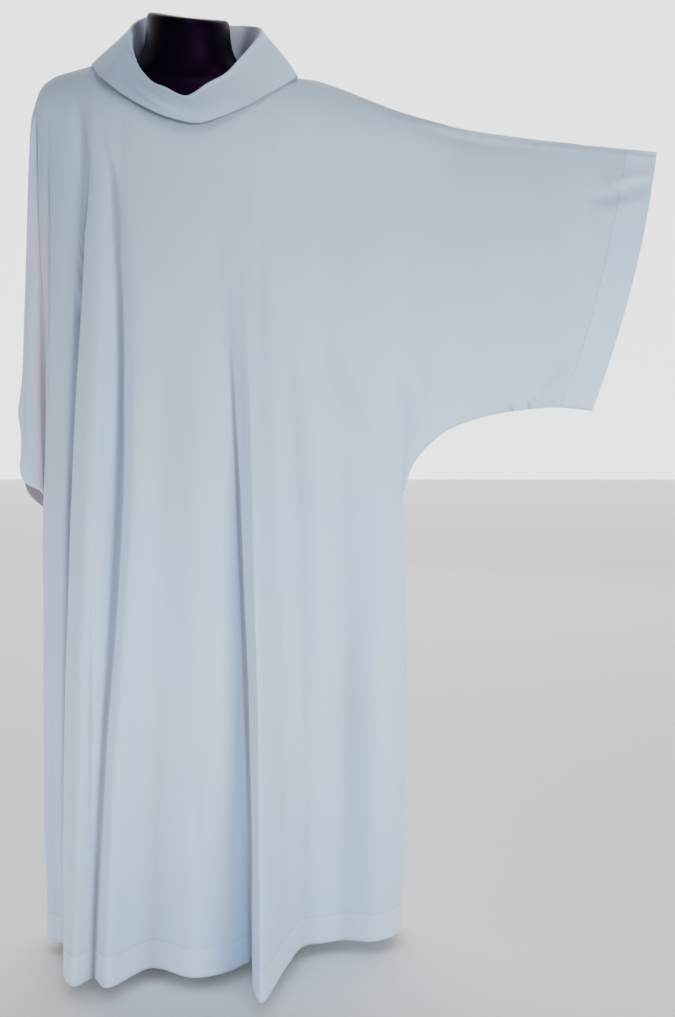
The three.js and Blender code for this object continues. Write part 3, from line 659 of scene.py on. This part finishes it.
def close_seams(grid, clean, normals, side, hanging, last_body):
    """Puts the seam edges back on their seams."""
    rows, columns = grid.shape[:2]
    for k in range(columns):
        sleeve = k < hanging or k > last_body
        for r in (0, ARMPIT_ROW):
            if r == 0 and abs(clean[0, k, 0]) < NECK_HALF:
                grid[0, k] = clean[0, k]
                continue
            if r == ARMPIT_ROW and not sleeve:
                continue
            grid[r, k] = clean[r, k]
            if k >= hanging:
                grid[r, k, 1] = 0
            grid[r, k, 1] -= seam_off(side, normals[r, k])
    for k in (hanging, last_body):
        for r in range(ARMPIT_ROW, rows):
            grid[r, k] = clean[r, k]
            grid[r, k, 1] -= seam_off(side, normals[r, k])


def turned_edges(grid, side):
    """Thickness, lift and pale tone of the turned hem and cuffs, painted light in a low hollow of the
    front, and the cuffs' stitched columns.
    """
    rows, columns = grid.shape[:2]
    thick = np.full((rows, columns), CLOTH)
    proud = np.zeros((rows, columns))
    z = grid[..., 2]
    turned = np.nan_to_num(TURN - z, nan=-1)
    turned[: ARMPIT_ROW + 1] = -1
    thick[turned >= -0.1] = HEM_CLOTH
    proud += 0.5 * np.clip(turned / 2.4, 0, 1)
    groove = np.exp(-((turned / 1.5) ** 2)) * (turned > -8)
    cuff = np.zeros(columns)
    held_turn = columns - HELD_CUFF_COLUMNS
    cuff[held_turn:] = 1
    hanging_turn = int(np.argmin(np.abs(HANGING_STEPS - HANGING_TURN)))
    cuff[: hanging_turn + 1] = 1
    inside = np.zeros((rows, columns), bool)
    inside[3 : ARMPIT_ROW - 3] = cuff[None] > 0
    doubled_and_painted_light = np.clip(turned / 2, 0, 1)
    doubled_and_painted_light[: ARMPIT_ROW + 1] = np.maximum(doubled_and_painted_light[: ARMPIT_ROW + 1], cuff[None])
    # Painted light: a paler tone laid into the hollow by the third crease, low on the front, where the
    # folds shade it.
    if side > 0:
        valley = np.exp(-(((grid[..., 0] - 68) / 28) ** 2)) * np.clip((640 - z) / 400, 0, 1)
        doubled_and_painted_light = np.maximum(doubled_and_painted_light, np.nan_to_num(valley))
    thick[inside] = HEM_CLOTH
    proud[inside] += 0.5
    for k in (held_turn, hanging_turn):
        groove[3 : ARMPIT_ROW - 3, k] = 1
    proud -= 0.9 * groove
    proud[0] = 0
    return thick, proud, doubled_and_painted_light, (held_turn, hanging_turn)


def make_panel(name, table, creases, side, seed):
    grid, hanging, last_body = panel_grid(table, side)
    if side > 0:
        calm(grid, hanging, last_body)
    normals = grid_normals(grid, side)
    grid = press_creases(grid, normals, creases)
    grid = undulate(grid, normals, seed)
    grid = seam_roll(grid, normals, hanging, last_body)
    clean, _, _ = panel_grid(table, side)
    close_seams(grid, clean, grid_normals(grid, side), side, hanging, last_body)
    normals = grid_normals(grid, side)
    thick, proud, doubled_and_painted_light, turns = turned_edges(grid, side)
    line = painted_crease_shade(grid, creases)
    piece = grid_wall(name, grid, normals, thick, proud, side, doubled_and_painted_light, hanging, line)
    return piece, grid, normals, turns


def stitches(name, lines, pitch=3.4, long=2.3, wide=0.42):
    """Small raised stitches one after another along each line of points with their directions out."""
    points, faces = [], []
    for line, out in lines:
        keep = ~np.isnan(line[:, 0])
        line, out = line[keep], out[keep]
        gaps = np.linalg.norm(np.diff(line, axis=0), axis=1)
        run = np.concatenate([[0], np.cumsum(gaps)])
        count = int(run[-1] / pitch)
        at = (np.arange(count) + 0.5) * run[-1] / count
        for u in at:
            p = np.array([np.interp(u, run, line[:, k]) for k in range(3)])
            q = np.array([np.interp(u + 0.8, run, line[:, k]) for k in range(3)])
            w = np.array([np.interp(u, run, out[:, k]) for k in range(3)])
            t = q - p
            if np.linalg.norm(t) < 1e-6:
                continue
            t /= np.linalg.norm(t)
            w /= np.linalg.norm(w)
            s = np.cross(t, w)
            base = len(points)
            for share, grow in ((-0.5, 0.25), (-0.25, 1), (0.25, 1), (0.5, 0.25)):
                for k in range(5):
                    a = 2 * pi * k / 5
                    points.append(p + t * share * long + (s * cos(a) + w * sin(a)) * wide * grow)
            for ring in range(3):
                for k in range(5):
                    i, j = base + ring * 5 + k, base + ring * 5 + (k + 1) % 5
                    faces.append((i, j, j + 5, i + 5))
            faces.append(tuple(base + k for k in reversed(range(5))))
            faces.append(tuple(base + 15 + k for k in range(5)))
    moved = (np.array(points) + np.array([0, -FORWARD, 0])) * MM
    return mesh_object(name, moved, faces)


# ---------------------------------------------------------------- collar
COLLAR_STEPS = 220
FALL_ROWS = 19
# Soft folds of the fall: angle, place from rim (0) to edge (1), height, half width in degrees,
# spread down the fall, and how much the fold climbs with each degree.
COLLAR_BUCKLES = [
    ("left front fold", 126, 0.56, -4.5, 20, 0.11, 0.009),
    ("left front roll", 130, 0.36, 2.5, 20, 0.12, 0.009),
    ("front slack", 100, 0.6, -2.0, 9, 0.3, 0),
    ("right front slack", 62, 0.5, -2.5, 10, 0.35, 0),
    ("right shoulder roll", 30, 0.6, 2.0, 10, 0.35, 0),
    ("left side slack", 172, 0.55, -3, 9, 0.3, 0),
    ("back left slack", 222, 0.5, -3, 10, 0.35, 0),
    ("back slack", 262, 0.55, -2.5, 12, 0.3, 0),
    ("back right slack", 312, 0.5, -3.5, 10, 0.35, 0),
]


def collar_section(degrees_round):
    """Points across the collar at one angle: up from the neck, over the rim, down the fall."""
    angles = [r[0] for r in COLLAR]
    around = [a - 360 for a in angles[-2:]] + angles + [a + 360 for a in angles[:2]]
    rows = COLLAR[-2:] + COLLAR + COLLAR[:2]
    rim = curve(around, [r[1] for r in rows], degrees_round)[0]
    edge = curve(around, [r[2] for r in rows], degrees_round)[0]
    a = radians(degrees_round)
    side = 1 if sin(a) >= 0 else -1
    p = top_edge(NECK_HALF * 0.9999 * cos(a), side)
    seam = np.array([p[0] * 0.985, p[1] * 0.985, p[2] + 1.7])
    out = np.array([edge[0] - seam[0], edge[1] - seam[1], 0])
    out /= np.linalg.norm(out)
    up = np.array([0, 0, 1.0])
    inner = rim - out * COLLAR_ROLL * 0.8 - up * COLLAR_ROLL
    outer = rim + out * COLLAR_ROLL * 0.8 - up * COLLAR_ROLL
    points = [seam + (inner - seam) * u - out * sin(pi * u) for u in np.linspace(0, 1, 9)]
    points.append(inner * 0.45 + rim * 0.55 - out * 0.5 + up * 0.5)
    points.append(rim - out * 0.9 + up * 0.25)
    points.append(rim + out * 0.9 + up * 0.1)
    points.append(outer * 0.45 + rim * 0.55 + out * 0.6 + up * 0.4)
    belly = 2 + 7 * np.exp(-(((degrees_round + 160) % 360 - 260) / 75.0) ** 2)
    # How far up the fall the painted shadow line along its edge reaches: wider at the front left.
    shaded = 0.012 + 0.03 * np.exp(-(((degrees_round - 128) / 24.0) ** 2))
    for u in np.append(np.linspace(0, 1 - 2 * shaded, FALL_ROWS - 2), [1 - shaded, 1]):
        points.append(outer + (edge - outer) * u + out * belly * sin(pi * u))
    drop = (edge - outer) / np.linalg.norm(edge - outer)
    points.append(edge + drop * 0.8 - out * 0.4)
    points.append(edge + drop * 1.6 - out * 1.2)
    points.append(edge + drop * 2.6 - out * 2.4)
    return np.array(points), out


def make_collar():
    sections, outs = [], []
    for i in range(COLLAR_STEPS):
        points, out = collar_section(360 * i / COLLAR_STEPS)
        sections.append(points)
        outs.append(out)
    grid = np.array(sections)
    outs = np.array(outs)
    across = grid.shape[1]
    loop = np.concatenate([grid, grid[:1]])
    wide = np.concatenate([grid[-1:], grid, grid[:1]])
    along_round = wide[2:] - wide[:-2]
    along_section = np.gradient(grid, axis=1)
    normals = np.cross(along_round, along_section)
    normals /= np.linalg.norm(normals, axis=2, keepdims=True)
    flip = np.sign((normals[:, -8] * outs).sum(axis=1).mean())
    normals *= flip
    # Buckles and rolls on the fall, each fading towards rim and edge.
    first_fall = across - FALL_ROWS - 3
    for name, angle, where, depth, half, spread, climb in COLLAR_BUCKLES:
        for i in range(COLLAR_STEPS):
            turn = (360 * i / COLLAR_STEPS - angle + 180) % 360 - 180
            if abs(turn) > 3 * half:
                continue
            for k in range(first_fall, across - 3):
                u = (k - first_fall) / (FALL_ROWS - 1)
                down = (u - where + climb * turn) / spread
                w = np.exp(-((turn / half) ** 2)) * np.exp(-(down**2))
                grid[i, k] += normals[i, k] * depth * w
    for i in range(COLLAR_STEPS):
        a = 2 * pi * i / COLLAR_STEPS
        sway = 0.8 * sin(5 * a + 0.6) + 0.5 * sin(9 * a + 2) + 0.3 * sin(17 * a)
        for k in range(first_fall, across):
            u = min(1, (k - first_fall) / (FALL_ROWS - 1))
            grid[i, k] += normals[i, k] * max(0, sway) * u * 1.3
        fold = 1.6 * sin(6 * a + 1.1) * sin(3 * a)
        for k in range(0, 9):
            grid[i, k] += normals[i, k] * fold * sin(pi * k / 8) * 0.6
    wide = np.concatenate([grid[-1:], grid, grid[:1]])
    normals = np.cross(wide[2:] - wide[:-2], np.gradient(grid, axis=1)) * flip
    normals /= np.linalg.norm(normals, axis=2, keepdims=True)
    outer = grid + normals * COLLAR_CLOTH / 2
    inner = grid - normals * COLLAR_CLOTH / 2
    count = COLLAR_STEPS * across
    faces = []
    for i in range(COLLAR_STEPS):
        j = (i + 1) % COLLAR_STEPS
        for k in range(across - 1):
            q = (i * across + k, j * across + k, j * across + k + 1, i * across + k + 1)
            faces.append(q)
            faces.append(tuple(v + count for v in reversed(q)))
        a, b = i * across, j * across
        faces.append((b, a, a + count, b + count))
        a, b = a + across - 1, b + across - 1
        faces.append((a, b, b + count, a + count))
    run = np.concatenate([[0], np.cumsum(np.linalg.norm(np.diff(grid[:, -1], axis=0), axis=1))])
    step = np.linalg.norm(np.diff(grid, axis=1), axis=2).mean(axis=0)
    depth = np.concatenate([[0], np.cumsum(step)])
    uv = np.stack(np.meshgrid(run, depth, indexing="ij"), axis=2).reshape(-1, 2) * MM
    points = np.vstack([outer.reshape(-1, 3), inner.reshape(-1, 3)]) + np.array([0, -FORWARD, 0])
    piece = mesh_object("collar_cloth", points * MM, faces, np.vstack([uv, uv]))
    # Painted shade: the turned-under side of the fall and its edge are painted dark, with a painted
    # shadow line along the free edge; the collar is painted a little darker on its left, and darker
    # inside its stand at the back on either side.
    turn = 360 * np.arange(COLLAR_STEPS) / COLLAR_STEPS
    shade = np.zeros((COLLAR_STEPS, across))
    shade += (0.02 + 0.16 * np.exp(-(((turn - 140) / 38) ** 2)))[:, None]
    deep = np.exp(-(((turn - 206) / 17) ** 4)) + np.exp(-((((turn + 180) % 360 - 160) / 17) ** 4))
    shade[:, : first_fall - 3] = (0.75 * deep)[:, None]
    under = shade.copy()
    under[:, first_fall + 4 :] = 1
    line = 0.6 + 0.3 * np.exp(-(((turn - 122) / 34) ** 4))
    shade[:, -4:] = line[:, None]
    shade[:, -5] = 0.4 * line
    tones = np.zeros((2 * count, 4))
    # The collar lies double, so a little paler all round, with painted light on its right front.
    light = 0.2 + 0.8 * np.exp(-(((turn - 48) / 46) ** 2))
    tones[:, 0] = np.tile(np.repeat(light, across), 2)
    tones[:, 1] = np.concatenate([shade.ravel(), under.ravel()])
    # A pale mauve painted shade on the stand.
    stand = np.where(np.arange(across) < first_fall - 3, 0.55, 0)
    tones[:, 2] = np.tile(stand, 2 * COLLAR_STEPS)
    paint_tones(piece, tones)
    return piece


# ---------------------------------------------------------------- dress form and stand
FORM_STEPS = 96
FORM_RING = 0.1


def deselect():
    if bpy.context.object and bpy.context.object.mode != "OBJECT":
        bpy.ops.object.mode_set(mode="OBJECT")
    bpy.ops.object.select_all(action="DESELECT")


def draw_up(rise):
    """Draws the selected faces straight up by so many millimetres."""
    bpy.ops.mesh.extrude_region_move(TRANSFORM_OT_translate={"value": (0, 0, rise * MM)})


def form_ring(row, k):
    z, half, front, back = row
    a = 2 * pi * k / FORM_STEPS
    lean = FORM_LEAN * min(1, max(0, (z - FORM_LEAN_FROM) / 150))
    taper = FORM_TAPER if z > FORM_TAPER_FROM else 1
    x = half * cos(a)
    y = (back if sin(a) > 0 else -front) * abs(sin(a)) ** taper
    cap = min(1, max(0, (z - CAP_FROM) / (FORM[-1][0] - CAP_FROM)))
    z -= lean * x + cap * (CAP_SLOPE * max(0, -y) + CAP_LEAN * x)
    return (x * MM, (y - FORWARD) * MM, z * MM)


def make_form():
    """A ring at the underside drawn up ring by ring to the top of the neck."""
    deselect()
    bpy.ops.mesh.primitive_circle_add(vertices=FORM_STEPS, radius=FORM_RING, fill_type="NGON",
                                      location=(0, 0, FORM[0][0] * MM))
    form = bpy.context.object
    form.name = "form_smooth"
    bpy.ops.object.mode_set(mode="EDIT")
    for low, high in zip(FORM, FORM[1:]):
        draw_up(high[0] - low[0])
    bpy.ops.mesh.inset(thickness=0.006)
    bpy.ops.object.mode_set(mode="OBJECT")
    mesh = form.data
    level = {round(row[0]): row for row in FORM}
    for v in mesh.vertices:
        z = v.co.z + form.location.z
        row = level.get(round(z * 1000))
        if row is None:
            continue
        radius = hypot(v.co.x, v.co.y)
        k = round(atan2(v.co.y, v.co.x) / (2 * pi) * FORM_STEPS) % FORM_STEPS
        p = form_ring(row, k)
        if radius < FORM_RING - 0.003:
            p = (p[0] * 0.9, (p[1] + FORWARD * MM) * 0.9 - FORWARD * MM, p[2] + 0.0016)
        v.co = (p[0] - form.location.x, p[1] - form.location.y, p[2] - form.location.z)
    place_in_mesh(form)
    smooth = form.modifiers.new("smooth", "SUBSURF")
    smooth.levels = smooth.render_levels = 1
    bpy.context.view_layer.objects.active = form
    bpy.ops.object.modifier_apply(modifier="smooth")
    recalculate(form)
    bpy.ops.object.shade_smooth()
    return form


def place_in_mesh(piece):
    deselect()
    piece.select_set(True)
    bpy.context.view_layer.objects.active = piece
    bpy.ops.object.transform_apply(location=True, rotation=True, scale=True)


def recalculate(piece):
    deselect()
    piece.select_set(True)
    bpy.context.view_layer.objects.active = piece
    bpy.ops.object.mode_set(mode="EDIT")
    bpy.ops.mesh.select_all(action="SELECT")
    bpy.ops.mesh.normals_make_consistent(inside=False)
    bpy.ops.object.mode_set(mode="OBJECT")


BASE_RADIUS, BASE_THICK, BOSS_RADIUS, BOSS_HEIGHT, POLE_RADIUS = 86, 14, 22, 38, 12.5


def bevelled_disc(name, radius, low, high, bevel, steps=96):
    deselect()
    middle = (low + high) / 2 * MM
    bpy.ops.mesh.primitive_cylinder_add(vertices=steps, radius=radius * MM,
                                        depth=(high - low) * MM, location=(0, 0, middle))
    piece = bpy.context.object
    piece.name = name
    edge = piece.modifiers.new("edge", "BEVEL")
    edge.width = bevel * MM
    edge.segments = 4
    edge.limit_method = "ANGLE"
    bpy.ops.object.modifier_apply(modifier="edge")
    place_in_mesh(piece)
    bpy.ops.object.shade_smooth_by_angle(angle=radians(35))
    return piece


def make_stand():
    """A round plate whose top is drawn in and up to a boss, and the pole."""
    plate = bevelled_disc("base_plate", BASE_RADIUS, 0, BASE_THICK, 2.5)
    bpy.ops.object.mode_set(mode="EDIT")
    bpy.ops.mesh.select_all(action="DESELECT")
    bpy.ops.object.mode_set(mode="OBJECT")
    for polygon in plate.data.polygons:
        polygon.select = polygon.normal.z > 0.99 and polygon.center.z > (BASE_THICK - 1) * MM
    bpy.ops.object.mode_set(mode="EDIT")
    bpy.ops.mesh.inset(thickness=(BASE_RADIUS - BOSS_RADIUS - 12) * MM)
    bpy.ops.mesh.inset(thickness=8 * MM)
    draw_up(4)
    bpy.ops.mesh.inset(thickness=1.5 * MM)
    draw_up(BOSS_HEIGHT - BASE_THICK - 6)
    bpy.ops.mesh.inset(thickness=1 * MM)
    bpy.ops.transform.translate(value=(0, 0, 1.5 * MM))
    bpy.ops.object.mode_set(mode="OBJECT")
    recalculate(plate)
    bpy.ops.object.shade_smooth_by_angle(angle=radians(35))
    pole = bevelled_disc("pole_tube", POLE_RADIUS, BOSS_HEIGHT - 0.3, FORM[0][0] - 0.2, 1, 48)
    return plate, pole


# ---------------------------------------------------------------- materials
def shader(name):
    material = bpy.data.materials.new(name)
    material.use_nodes = True
    tree = material.node_tree
    return material, tree, tree.nodes["Principled BSDF"]


def node(tree, kind, **values):
    made = tree.nodes.new(kind)
    for key, value in values.items():
        if key in made.inputs:
            made.inputs[key].default_value = value
        else:
            setattr(made, key, value)
    return made


def pattern(tree, kind, **values):
    """A texture or mapping that follows the piece's own place."""
    made = node(tree, kind, **values)
    where = node(tree, "ShaderNodeTexCoord")
    tree.links.new(where.outputs["Object"], made.inputs["Vector"])
    return made


def two_tone(tree, source, low, high, first=0.0, last=1.0):
    tint = node(tree, "ShaderNodeValToRGB")
    for stop, place, colour in zip(tint.color_ramp.elements, (first, last), (low, high)):
        stop.position = place
        stop.color = (*colour, 1)
    tree.links.new(source.outputs["Fac"], tint.inputs["Fac"])
    return tint


def roughness(tree, skin, source, low, high):
    rough = node(tree, "ShaderNodeMapRange")
    rough.inputs["To Min"].default_value = low
    rough.inputs["To Max"].default_value = high
    tree.links.new(source.outputs["Fac"], rough.inputs["Value"])
    tree.links.new(rough.outputs["Result"], skin.inputs["Roughness"])


def raised(tree, height, strength, distance, under=None):
    """A bump, laid over another one if there is one."""
    bump = node(tree, "ShaderNodeBump", Strength=strength, Distance=distance)
    tree.links.new(height, bump.inputs["Height"])
    if under:
        tree.links.new(under.outputs["Normal"], bump.inputs["Normal"])
    return bump


def dress_skin(tree, skin, tint, bump):
    tree.links.new(tint.outputs["Color"], skin.inputs["Base Color"])
    tree.links.new(bump.outputs["Normal"], skin.inputs["Normal"])


def set_sockets(skin, values):
    for name, value in values.items():
        skin.inputs[name].default_value = value


def plain_weave():
    """Smooth white polyester: fine even threads both ways, faint slubs, a soft cool sheen."""
    material, tree, skin = shader("white_plain_weave")
    link = tree.links.new
    place = node(tree, "ShaderNodeUVMap", uv_map="cloth")
    split = node(tree, "ShaderNodeSeparateXYZ")
    link(place.outputs[0], split.inputs[0])
    threads = []
    for axis in ("X", "Y"):
        many = node(tree, "ShaderNodeMath", operation="MULTIPLY")
        many.inputs[1].default_value = 2 * pi / 0.00062
        link(split.outputs[axis], many.inputs[0])
        wave = node(tree, "ShaderNodeMath", operation="SINE")
        link(many.outputs[0], wave.inputs[0])
        threads.append(wave)
    cross = node(tree, "ShaderNodeMath", operation="MULTIPLY")
    link(threads[0].outputs[0], cross.inputs[0])
    link(threads[1].outputs[0], cross.inputs[1])
    slub = pattern(tree, "ShaderNodeTexNoise", Scale=420.0, Detail=3.0, Roughness=0.6)
    soft = pattern(tree, "ShaderNodeTexNoise", Scale=14.0, Detail=3.0, Roughness=0.5)
    tall = pattern(tree, "ShaderNodeMapping")
    tall.inputs["Scale"].default_value = (1, 0.6, 0.45)
    broad = node(tree, "ShaderNodeTexNoise", Scale=7.0, Detail=2.0)
    link(tall.outputs["Vector"], broad.inputs["Vector"])
    # The cloth is white: the cool blue of these colours is the cast of the light, painted in; the
    # mottle between them is a random tone.
    tint = two_tone(tree, broad, (0.568, 0.66, 0.835), (0.535, 0.685, 0.935), 0.36, 0.64)
    tones = node(tree, "ShaderNodeAttribute", attribute_name="tones")
    parts = node(tree, "ShaderNodeSeparateColor")
    link(tones.outputs["Color"], parts.inputs[0])
    colour = tint.outputs["Color"]
    # Paler where the cloth lies double, and painted light; painted shade beside the body's edge;
    # painted shade in the creases; and last of all painted shade in the dark.
    shades = [
        ("Red", (0.66, 0.76, 0.9, 1), 0.5), ("Blue", (0.8, 0.71, 0.83, 1), 0.9),
        ("Alpha", (0.25, 0.185, 0.175, 1), 0.7), ("Green", (0.04, 0.026, 0.034, 1), 0.97),
    ]
    for channel, shade, most in shades:
        much = node(tree, "ShaderNodeMath", operation="MULTIPLY")
        much.inputs[1].default_value = most
        link((tones if channel == "Alpha" else parts).outputs[channel], much.inputs[0])
        blend = node(tree, "ShaderNodeMix", data_type="RGBA")
        link(much.outputs[0], blend.inputs["Factor"])
        link(colour, blend.inputs[6])
        blend.inputs[7].default_value = shade
        colour = blend.outputs[2]
    link(colour, skin.inputs["Base Color"])
    roughness(tree, skin, slub, 0.6, 0.78)
    fine = raised(tree, cross.outputs[0], 0.12, 0.0001)
    thread = raised(tree, slub.outputs["Fac"], 0.1, 0.0003, fine)
    rumple = raised(tree, soft.outputs["Fac"], 0.22, 0.004, thread)
    link(rumple.outputs["Normal"], skin.inputs["Normal"])
    set_sockets(skin, {
        "Sheen Weight": 0.22, "Sheen Roughness": 0.45, "Sheen Tint": (0.86, 0.92, 1, 1),
        "Specular IOR Level": 0.3, "Subsurface Weight": 0.6,
        "Subsurface Radius": (0.0016, 0.0018, 0.0021), "Subsurface Scale": 1.0,
    })
    return material


def sewing_thread():
    material, tree, skin = shader("white_thread")
    twist = pattern(tree, "ShaderNodeTexWave", Scale=900.0, Distortion=1.0)
    tint = two_tone(tree, twist, (0.6, 0.655, 0.735), (0.72, 0.77, 0.84))
    dress_skin(tree, skin, tint, raised(tree, twist.outputs["Fac"], 0.3, 0.0001))
    set_sockets(skin, {"Roughness": 0.5})
    return material


def dark_gloss():
    """The form's near-black skin, with a faint mottle under a soft gloss."""
    material, tree, skin = shader("dark_form_skin")
    cloud = pattern(tree, "ShaderNodeTexNoise", Scale=22.0, Detail=4.0)
    grain = pattern(tree, "ShaderNodeTexNoise", Scale=600.0, Detail=2.0)
    tint = two_tone(tree, cloud, (0.0008, 0.0002, 0.0012), (0.0022, 0.0005, 0.0034))
    roughness(tree, skin, cloud, 0.36, 0.5)
    dress_skin(tree, skin, tint, raised(tree, grain.outputs["Fac"], 0.08, 0.0003))
    set_sockets(skin, {"Specular IOR Level": 0.12, "Specular Tint": (0.8, 0.25, 1, 1)})
    return material


def satin_paint():
    material, tree, skin = shader("dark_satin_paint")
    speck = pattern(tree, "ShaderNodeTexNoise", Scale=160.0, Detail=3.0)
    tint = two_tone(tree, speck, (0.018, 0.018, 0.02), (0.035, 0.035, 0.038))
    dress_skin(tree, skin, tint, raised(tree, speck.outputs["Fac"], 0.15, 0.0003))
    set_sockets(skin, {"Roughness": 0.42, "Metallic": 0.3})
    return material


def finish_piece(piece, material, slot, *nodes):
    piece.data.materials.clear()
    piece.data.materials.append(material)
    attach(piece, "root")
    if nodes:
        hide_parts(*nodes)


# ---------------------------------------------------------------- build
weave = plain_weave()
thread = sewing_thread()
skin_dark = dark_gloss()
paint = satin_paint()

front, front_grid, front_out, front_turns = make_panel(
    "front_panel_cloth", FRONT, FRONT_CREASES, 1, 0.4)
back, back_grid, back_out, back_turns = make_panel(
    "back_panel_cloth", BACK, BACK_CREASES, -1, 1.9)
collar = make_collar()
form = make_form()
plate, pole = make_stand()


def stitch_lines(grid, out, turns):
    """Hem and cuff stitching as lines of points on the outside of a panel."""
    lift = CLOTH / 2 - 0.15
    cuff = slice(3, ARMPIT_ROW - 2)
    lines = [(grid[TURN_ROW] + out[TURN_ROW] * lift, out[TURN_ROW])]
    for k in turns:
        lines.append((grid[cuff, k] + out[cuff, k] * lift, out[cuff, k]))
    return lines


front_sewing = stitches("front_stitching", stitch_lines(front_grid, front_out, front_turns))
back_sewing = stitches("back_stitching", stitch_lines(back_grid, back_out, back_turns))

finish_piece(front, weave, "white_cloth", "front_panel")
finish_piece(back, weave, "white_cloth", "back_panel")
finish_piece(collar, weave, "white_cloth", "collar")
finish_piece(front_sewing, thread, "white_cloth")
finish_piece(back_sewing, thread, "white_cloth")
finish_piece(form, skin_dark, "form_cover", "dress_form")
finish_piece(plate, paint, "stand_metal", "base")
finish_piece(pole, paint, "stand_metal", "pole")


# ---------------------------------------------------------------- floor and light
def pale(name, colour, glow=0):
    material, tree, skin = shader(name)
    skin.inputs["Base Color"].default_value = (*colour, 1)
    skin.inputs["Roughness"].default_value = 0.9
    skin.inputs["Emission Color"].default_value = (1, 1, 1, 1)
    skin.inputs["Emission Strength"].default_value = glow
    return material


def stage_sheet(name, size, place, turn, material):
    deselect()
    bpy.ops.mesh.primitive_plane_add(size=1, location=place, rotation=turn)
    sheet = bpy.context.object
    sheet.name = name
    sheet.scale = (*size, 1)
    sheet.data.materials.append(material)
    place_in_mesh(sheet)


def set_stage():
    floor = pale("pale_floor", (0.97, 0.95, 0.92))
    backdrop = pale("pale_backdrop", (0.9, 0.9, 0.9), 2.2)
    stage_sheet("floor", (24, 24), (0, 0, 0), (0, 0, 0), floor)
    stage_sheet("backdrop", (24, 12), (0, 6, 6), (pi / 2, 0, 0), backdrop)
    world = bpy.data.worlds.new("studio")
    world.use_nodes = True
    world.node_tree.nodes["Background"].inputs["Color"].default_value = (0.9, 0.95, 1, 1)
    world.node_tree.nodes["Background"].inputs["Strength"].default_value = 0.26
    bpy.context.scene.world = world
    # Lamps: name, place, aim, size, beam in degrees, power.
    lamps = [
        ("front low", (0.12, -2.35, 0.1), (0.06, -0.1, 0.1), 1.5, 75, 7),
        ("low right", (1.7, -1.9, 0.75), (0.6, -0.1, 0.9), 1.3, 60, 8.8),
        ("floor right", (1.8, -1.9, 0.15), (0.05, -0.1, 0.15), 1.0, 46, 2.6),
        ("low left", (-1.7, -1.7, 0.1), (-0.18, -0.1, 0.25), 1.2, 60, 6.3),
        ("over the collar", (0.35, -1.1, 2.7), (0.06, 0, 1.52), 0.25, 20, 0.16),
        ("back fill", (0.6, 3.2, 1.8), (0, 0, 0.9), 2.4, 180, 20),
    ]
    for name, place, aim, size, beam, power in lamps:
        data = bpy.data.lights.new(name, "AREA")
        data.size = size
        data.spread = radians(beam)
        data.energy = power
        data.color = (0.86, 0.935, 1)
        lamp = bpy.data.objects.new(name, data)
        bpy.context.scene.collection.objects.link(lamp)
        lamp.location = place
        reach = [a - p for a, p in zip(aim, place)]
        lamp.rotation_euler = (
            atan2(hypot(reach[0], reach[1]), -reach[2]),
            0,
            atan2(reach[1], reach[0]) - pi / 2,
        )


set_stage()
